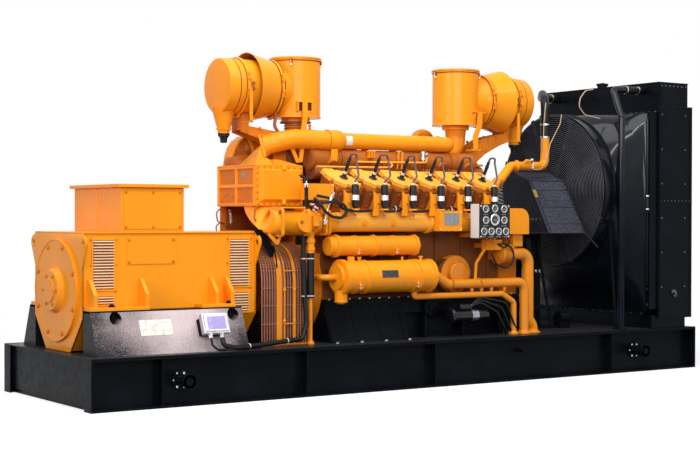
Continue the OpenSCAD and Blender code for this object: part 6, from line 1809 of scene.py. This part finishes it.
def fan_shroud():
    """Pressed form, its ring, and the bolts round both."""
    shell = Piece("shroud_form", "black_form", replaces="fan_shroud", smooth=25, weld=0.0002)
    ring = Piece("shroud_ring", "black_form", replaces="fan_shroud", smooth=40)
    bolts = Piece("shroud_bolts", "wire_dark")
    shell.skin(shroud_wall(0.0) + shroud_wall(SHEET)[::-1], loop=True)
    ring.lathe([(0, FAN_R - 0.006), (0, FAN_R), (0.006, FAN_R + 0.012), (0.012, FAN_R + 0.012),
        (0.016, FAN_R), (0.112, FAN_R), (0.116, FAN_R + 0.016), (0.13, FAN_R + 0.016),
        (0.13, FAN_R - 0.006)], (FAN_X, 0, FAN_Z), X, 96, closed=True)
    bolts.bolt_ring((FAN_X + 0.116, 0, FAN_Z), -X, FAN_R + 0.009, 28, 0.006)
    for side in SIDES:
        for k in range(13):
            bolts.bolt((2.464, side * 0.778, 0.6 + k * 0.142), -X, 0.009)
    for k in range(12):
        bolts.bolt_grid(2.466, -0.7 + k * 0.127, (2.352, 0.512), -X, 0.008)


def shroud_stays():
    """Posts from the deck that carry the fan's ring."""
    stays = Piece("shroud_stays", "black")
    for side in SIDES:
        stays.box((2.06, side * 0.655, 1.315), (2.12, side * 0.69, 1.345))
        stays.tube([(2.09, side * 0.672, 1.33), (2.15, side * 0.7, 0.43),
            (2.15, side * 0.7, DECK_Z + 0.002)], 0.012, 12)
        stays.lathe([(0, 0.035), (0.01, 0.035), (0.012, 0.018), (0.024, 0.018)],
            (2.15, side * 0.7, DECK_Z), Z, 24)


# ---------------------------------------------------------------- belt drive

CRANK_Z, CRANK_R, FAN_PULLEY_R = 0.96, 0.165, 0.118


def belt_guard():
    """Perforated sheet in an angle frame over the belts, open below and behind."""
    # The front sheet takes the darker black as painted shade, against the lit zinc of the sides.
    front = Piece("belt_guard_front", "wire_dark", replaces="belt_guard", smooth=40)
    sheet = Piece("belt_guard_sheet", "wire_blue", replaces="belt_guard", smooth=40)
    edges = Piece("belt_guard_edges", "wire_dark", replaces="belt_guard")
    mark = Piece("belt_guard_mark", "yellow_mark", 0.0005)
    bolts = Piece("belt_guard_bolts", "wire_dark")
    x0, x1, z0, z1, low, high, crown = 1.515, 1.95, 1.252, 1.725, 0.5, 0.225, 0.09
    slope = (low - high) / (z1 - z0)

    def half(z):
        return low - slope * (z - z0) if z < z1 else high * (z1 + crown - z) / crown

    rows = 44
    for k in range(rows + 1):
        z = z0 + (z1 + crown - 0.006 - z0) * k / rows
        y = half(z)
        front.box((x0 - 0.0003, -y, z - 0.0024), (x0 + 0.0012, y, z + 0.0024))
        for side in SIDES:
            sheet.box((x0, side * y, z - 0.0033), (x1, side * (y - 0.0018), z + 0.0033))
    columns = 64
    for k in range(columns + 1):
        y = -low + 2 * low * k / columns
        top = z1 + crown * (1 - abs(y) / high) if abs(y) < high else z1 - (abs(y) - high) / slope
        front.box((x0, y - 0.0028, z0), (x0 + 0.0012, y + 0.0028, max(z0 + 0.004, top)))
    columns = 28
    for side in SIDES:
        for k in range(columns + 1):
            x = x0 + (x1 - x0) * k / columns
            for (ya, za), (yb, zb) in (((low, z0), (high, z1)), ((high, z1), (0.004, z1 + crown))):
                section = ((ya - 0.0002, za), (ya - 0.0016, za), (yb - 0.0016, zb), (yb - 0.0002, zb))
                sheet.skin([[(x + dx, side * y, z) for y, z in section] for dx in (-0.0042, 0.0042)])
    outline = [(-low, z0), (-high, z1), (0, z1 + crown), (high, z1), (low, z0)]
    for x in (x0 - 0.001, x1 + 0.001):
        edges.tube([(x, y, z) for y, z in outline], 0.0065, 6)
        edges.tube([(x, -low, z0), (x, low, z0)], 0.006, 6)
    for y, z in outline:
        edges.rod((x0, y, z), (x1, y, z), 0.005, sides=6)
    edges.tube([(x0 + 0.03, -half(z0) - 0.001, z0), (x0 + 0.03, -half(z1) - 0.001, z1)], 0.0035, 6)
    for side in SIDES:
        edges.tube([(x0 - 0.002, side * (low - 0.055), z0),
            (x0 - 0.002, side * (high - 0.05), z1 - 0.01)], 0.0035, 6)
        for z in (1.336, 1.486, 1.64):
            edges.tube([(x0, side * half(z), z), (x1, side * half(z), z)], 0.0028, 6)
        for k in range(10):
            z = z0 + 0.03 + k * 0.046
            bolts.bolt((x1 - 0.012, side * half(z), z), (0, side, slope), 0.006)
        edges.tube([(x1, side * (low + 0.002), z0), (x1 + 0.09, side * (low + 0.075), z0 - 0.13)],
            0.007, 6)
    mark.slab_x([(-0.318, 1.645), (-0.275, 1.645), (-0.312, 1.575), (-0.358, 1.575)], x0 - 0.004,
        x0 - 0.0015)


def belt_drive():
    """Pulleys, belts, the braced frame below the guard and the fan drive's low foot."""
    foot = Piece("fan_drive_foot", "black", 0.003)
    foot.box((1.3, -0.06, DECK_Z), (1.56, 0.3, 0.61))
    foot.box((1.285, -0.075, DECK_Z), (1.575, 0.315, DECK_Z + 0.014))
    pulleys = Piece("belt_pulleys", "black", 0.0005)
    belts = Piece("belts", "rubber")
    bars = Piece("fan_stand_bars", "black")
    bright = Piece("fan_stand_bolts", "steel")
    groove = [(0, 0.93), (0.004, 1.0), (0.012, 1.0), (0.02, 0.9), (0.028, 1.0), (0.036, 0.9),
        (0.044, 1.0), (0.052, 0.9), (0.06, 1.0), (0.068, 1.0), (0.072, 0.93)]
    for y, z, r in ((0, FAN_Z, FAN_PULLEY_R), (0, CRANK_Z, CRANK_R), (-0.15, 1.26, 0.06)):
        pulleys.lathe([(h, r * f) for h, f in groove], (1.545, y, z), X, 40)
        pulleys.bolt_ring((1.545, y, z), -X, r * 0.45, 5, 0.008)
    for k in range(3):
        x = 1.565 + 0.016 * k
        for side in (-1, 1):
            belts.tube([(x, side * CRANK_R, CRANK_Z), (x, side * FAN_PULLEY_R, FAN_Z)], 0.006, 6)
        for z, r, a0 in ((FAN_Z, FAN_PULLEY_R, 0), (CRANK_Z, CRANK_R, pi)):
            belts.tube([(x, r * cos(a0 + pi * i / 12), z + r * sin(a0 + pi * i / 12))
                for i in range(13)], 0.006, 6)
    pulleys.rod((1.19, 0, CRANK_Z), (1.55, 0, CRANK_Z), 0.045)
    for side in SIDES:
        bars.tube([(1.56, side * 0.255, DECK_Z + 0.03), (1.66, side * 0.1, 1.18)], 0.014, 8)
        bars.tube([(1.76, side * 0.255, DECK_Z + 0.03), (1.72, side * 0.108, 1.18)], 0.014, 8)
        bars.box((1.5, side * 0.245, 0.56), (1.815, side * 0.265, 0.59))
        bars.box((1.5, side * 0.255, DECK_Z + 0.029), (1.52, side * 0.262, 0.59))
        bright.bolt_grid((1.52, 1.58, 1.78), side * 0.23, DECK_Z + 0.03, Z, 0.013)
    for k in range(4):
        bright.bolt((1.616 + 0.046 * k, -0.112, 0.9), -Y, 0.011)
        bright.bolt((1.616 + 0.046 * k, -0.112, 1.38), -Y, 0.011)
    for k in range(5):
        pulleys.lathe([(0, 0.06), (0.012, 0.064), (0.02, 0.058)], (1.85 + k * 0.02, -0.25, 0.47), X, 28)
    pulleys.box((1.84, -0.3, DECK_Z), (1.96, -0.2, 0.44))


fan()
fan_guard()
fan_shroud()
shroud_stays()
belt_guard()
belt_drive()


# ---------------------------------------------------------------- radiator


def radiator_frame():
    """Side panels, posts and base of the radiator."""
    frame_parts = Piece("radiator_sides", "black_shiny", 0.003, replaces="radiator_frame")
    for side in SIDES:
        frame_parts.box((2.47, side * 0.74, 0.5), (2.955, side * 0.8, 2.36))
        frame_parts.box((2.566, side * 0.8, 0.47), (3.0, side * 0.8205, 2.42))
    frame_parts.box((2.47, -0.8, 0.5), (2.955, 0.8, 0.56))
    frame_parts.box((2.5, -0.8, DECK_Z), (2.935, 0.8, 0.501))


def radiator_trim():
    """Core fins, side-panel bolts, tank seams, filler cap, hook, base pads and the sensor wires."""
    fins = Piece("radiator_fins", "core")
    bolts = Piece("radiator_bolts", "wire_grey")
    trim = Piece("radiator_seams", "black_shiny", 0.0008)
    small = Piece("radiator_hook", "wire_grey")
    for k in range(70):
        z = 0.575 + k * 0.0255
        fins.box((2.935, -0.738, z), (2.943, 0.738, z + 0.006))
    for k in range(46):
        y = -0.735 + k * 1.47 / 45
        fins.box((2.941, y - 0.004, 0.56), (2.95, y + 0.004, 2.358))
    for side in SIDES:
        out = (0, side, 0)
        panel = 0.8205
        bolts.bolt_grid((2.604, 2.906), side * (panel - 0.0045),
            (0.758, 1.075, 1.391, 1.705, 2.02, 2.338), out, 0.009)
        for k in range(9):
            bolts.bolt((2.59 + k * 0.047, side * (panel - 0.0008), 1.548), out, 0.0045)
        for x in (2.575, 2.965):
            trim.box((x, side * panel, 0.49), (x + 0.01, side * 0.8245, 2.4))
        for z in (2.395, 0.478):
            trim.box((2.57, side * panel, z), (2.99, side * 0.8245, z + 0.009))
        trim.box((2.6, side * 0.799, 2.39), (2.95, side * 0.806, 2.62))
        for k in range(7):
            bolts.bolt((2.612 + k * 0.052, side * 0.806, 2.605), out, 0.006)
    small.tube([(2.757, -0.824, 0.715), (2.757, -0.85, 0.712), (2.757, -0.86, 0.69),
        (2.757, -0.848, 0.668), (2.757, -0.836, 0.68)], 0.007, 10)
    small.box((2.735, -0.829, 0.7), (2.779, -0.824, 0.73))
    trim.box((2.578, -0.804, 2.356), (2.96, 0.804, 2.374))
    trim.box((2.578, -0.804, 2.628), (2.96, 0.804, 2.6395))
    for k in range(20):
        bolts.bolt((2.5785, -0.76 + k * 0.08, 2.365), -X, 0.007)
    trim.lathe([(0.022, 0.046), (0.026, 0.058), (0.042, 0.058), (0.046, 0.05), (0.048, 0.02),
        (0.054, 0.016)], (2.642, 0, 2.636), Z, 24)
    for k in range(5):
        trim.box((2.47, -0.8 + k * 0.38, 0.5), (2.485, -0.77 + k * 0.38, 0.56))
    for side in SIDES:
        for x in (2.52, 2.9):
            bolts.bolt((x, side * 0.74, 0.3795), Z, 0.014)
            trim.box((x - 0.03, side * 0.7, DECK_Z), (x + 0.03, side * 0.79, DECK_Z + 0.01))
    wire = Piece("sensor_wire", "yellow_wire")
    wire.pipe([(2.046, -0.5, 2.562), (1.95, -0.5, 2.545), (1.89, -0.5, 2.48), (1.868, -0.5, 2.4),
        (1.945, -0.5, 2.325), (2.13, -0.5, 2.3)], 0.0048, 0.06, 10, 8)
    wire.pipe([(1.924, -0.21, 2.345), (1.905, -0.215, 2.26), (1.77, -0.23, 2.071), (1.7, -0.25, 1.9),
        (1.62, -0.265, 1.83), (1.52, -0.275, 1.825)], 0.0046, 0.06, 10, 8)
    wire.pipe([(1.72, -0.225, 2.44), (1.69, -0.25, 2.4), (1.672, -0.25, 2.23), (1.668, -0.25, 2.06),
        (1.69, -0.25, 1.93)], 0.0042, 0.06, 10, 8)


def coolant_pipes():
    """Clamped hose from the tank, painted pipe down to the near bank, the bypass and a thin vent."""
    hose = Piece("coolant_hose", "rubber", replaces="coolant_pipes", smooth=50)
    painted = Piece("coolant_pipe_painted", "amber", replaces="coolant_pipes", smooth=50)
    black = Piece("bypass_pipe", "black_form", replaces="coolant_pipes", smooth=50)
    clamps = Piece("coolant_clamps", "steel", 0.0003)
    hose_x, hose_y, outlet_x = 1.733, -0.2, 0.902
    bypass_y, bypass_z, foot_x, foot_y = -0.606, 2.566, 2.15, -0.76
    vent_x, vent_y = 2.4577, -0.778
    out_y, out_z = bank(0.92, 0)
    elbow_y, elbow_z = bank(1.01, 0)
    upper = [(2.582, 0.6, 2.57), (2.4, 0.6, 2.57), (1.86, -0.02, 2.54), (hose_x, hose_y, 2.46),
        (hose_x, hose_y, 2.12)]
    lower = [(hose_x, hose_y, 2.12), (hose_x, hose_y, 1.99), (1.716, -0.21, 1.862),
        (1.489, -0.25, 1.858), (1.217, -0.32, 1.85), (0.995, -0.42, 1.7), (outlet_x, elbow_y, elbow_z),
        (outlet_x, out_y, out_z)]
    hose.pipe(upper, 0.041, 0.15, 28, 14)
    painted.pipe(lower, 0.04, 0.13, 28, 12)
    for z in (2.244, 2.128):
        clamps.ring((hose_x, hose_y, z), Z, 0.0435, 0.003, 0.015, 36)
    clamps.ring((1.515, -0.246, 1.863), (1, -0.17, 0), 0.047, 0.008, 0.02, 36)
    clamps.rod((1.5, -0.275, 1.88), (1.48, -0.31, 1.915), 0.013, sides=12)
    clamps.ring((2.52, 0.6, 2.57), X, 0.044, 0.003, 0.016, 36)
    painted.lathe([(0, 0.048), (0.006, 0.052), (0.02, 0.052), (0.026, 0.046)], (1.29, -0.3, 1.853),
        (1, -0.26, 0), 32)
    painted.tube([(1.38, -0.305, 1.875), (1.41, -0.31, 1.905), (1.46, -0.31, 1.9)], 0.012, 10)
    painted.lathe([(0, 0.062), (0.014, 0.062), (0.016, 0.05)], (outlet_x, out_y, out_z),
        (0, -sin(BANK), cos(BANK)), 36)
    black.pipe([(2.582, bypass_y, bypass_z), (2.19, bypass_y, bypass_z), (foot_x, foot_y, 2.3),
        (foot_x, foot_y, DECK_Z)], 0.03, 0.06, 24, 12)
    black.lathe([(0, 0.046), (0.01, 0.046), (0.012, 0.034)], (foot_x, foot_y, DECK_Z), Z, 28)
    hose.pipe([(2.52, bypass_y, bypass_z), (2.33, bypass_y, bypass_z)], 0.0335, 0.02, 24, 4)
    for x in (2.35, 2.5):
        clamps.ring((x, bypass_y, bypass_z), X, 0.0365, 0.003, 0.013, 36)
    black.pipe([(vent_x, vent_y, 2.29), (vent_x, vent_y, 0.78)], 0.012, 0.01, 14, 2)
    hose.rod((vent_x, vent_y, 1.47), (vent_x, vent_y, 1.6), 0.0165, sides=18)
    for z in (1.472, 1.592):
        clamps.ring((vent_x, vent_y, z), Z, 0.0195, 0.003, 0.012, 20)
    for z in (2.1, 1.75, 1.2, 0.95):
        black.box((vent_x, -0.792, z - 0.006), (2.472, -0.766, z + 0.006))


radiator_frame()
radiator_trim()
coolant_pipes()


# ---------------------------------------------------------------- skid


def skid_trim():
    """Weld beads, deck edge strips, the drains' collars, threads and bolts, and a grease nipple."""
    edge = Piece("skid_welds", "black")
    drains = Piece("drain_fittings", "black", 0.0005)
    bolts = Piece("drain_bolts", "steel")
    for side in SIDES:
        edge.box((-3.048, side * 0.8245, 0.3795), (3.048, side * 0.8205, 0.3822))
        for x in (-2.49, -1.25, 0.0, 1.985):
            for sign in (0.0, 0.012):
                edge.tube([(x + sign, side * 0.7385, 0.02), (x + sign, side * 0.7385, 0.352)], 0.0045,
                    6)
    for x in (-2.31, 2.325):
        drains.lathe([(0, 0.052), (0.003, 0.055), (0.015, 0.055), (0.018, 0.052)], (x, -0.902, 0.19), Y,
            40)
        for k in range(5):
            drains.ring((x, -0.878 + k * 0.009, 0.19), Y, 0.0405, 0.006, 0.0045, 36)
        bolts.bolt_ring((x, -0.755, 0.19), -Y, 0.057, 6, 0.006)
    drains.lathe([(0, 0.018), (0.014, 0.018), (0.015, 0.011), (0.06, 0.011), (0.062, 0.015),
        (0.078, 0.015)], (0.961, -0.738, 0.251), -Y, 18)


skid_trim()


# ---------------------------------------------------------------- end

for piece in Piece.every:
    piece.make()
bpy.context.scene.view_settings.view_transform = "Standard"
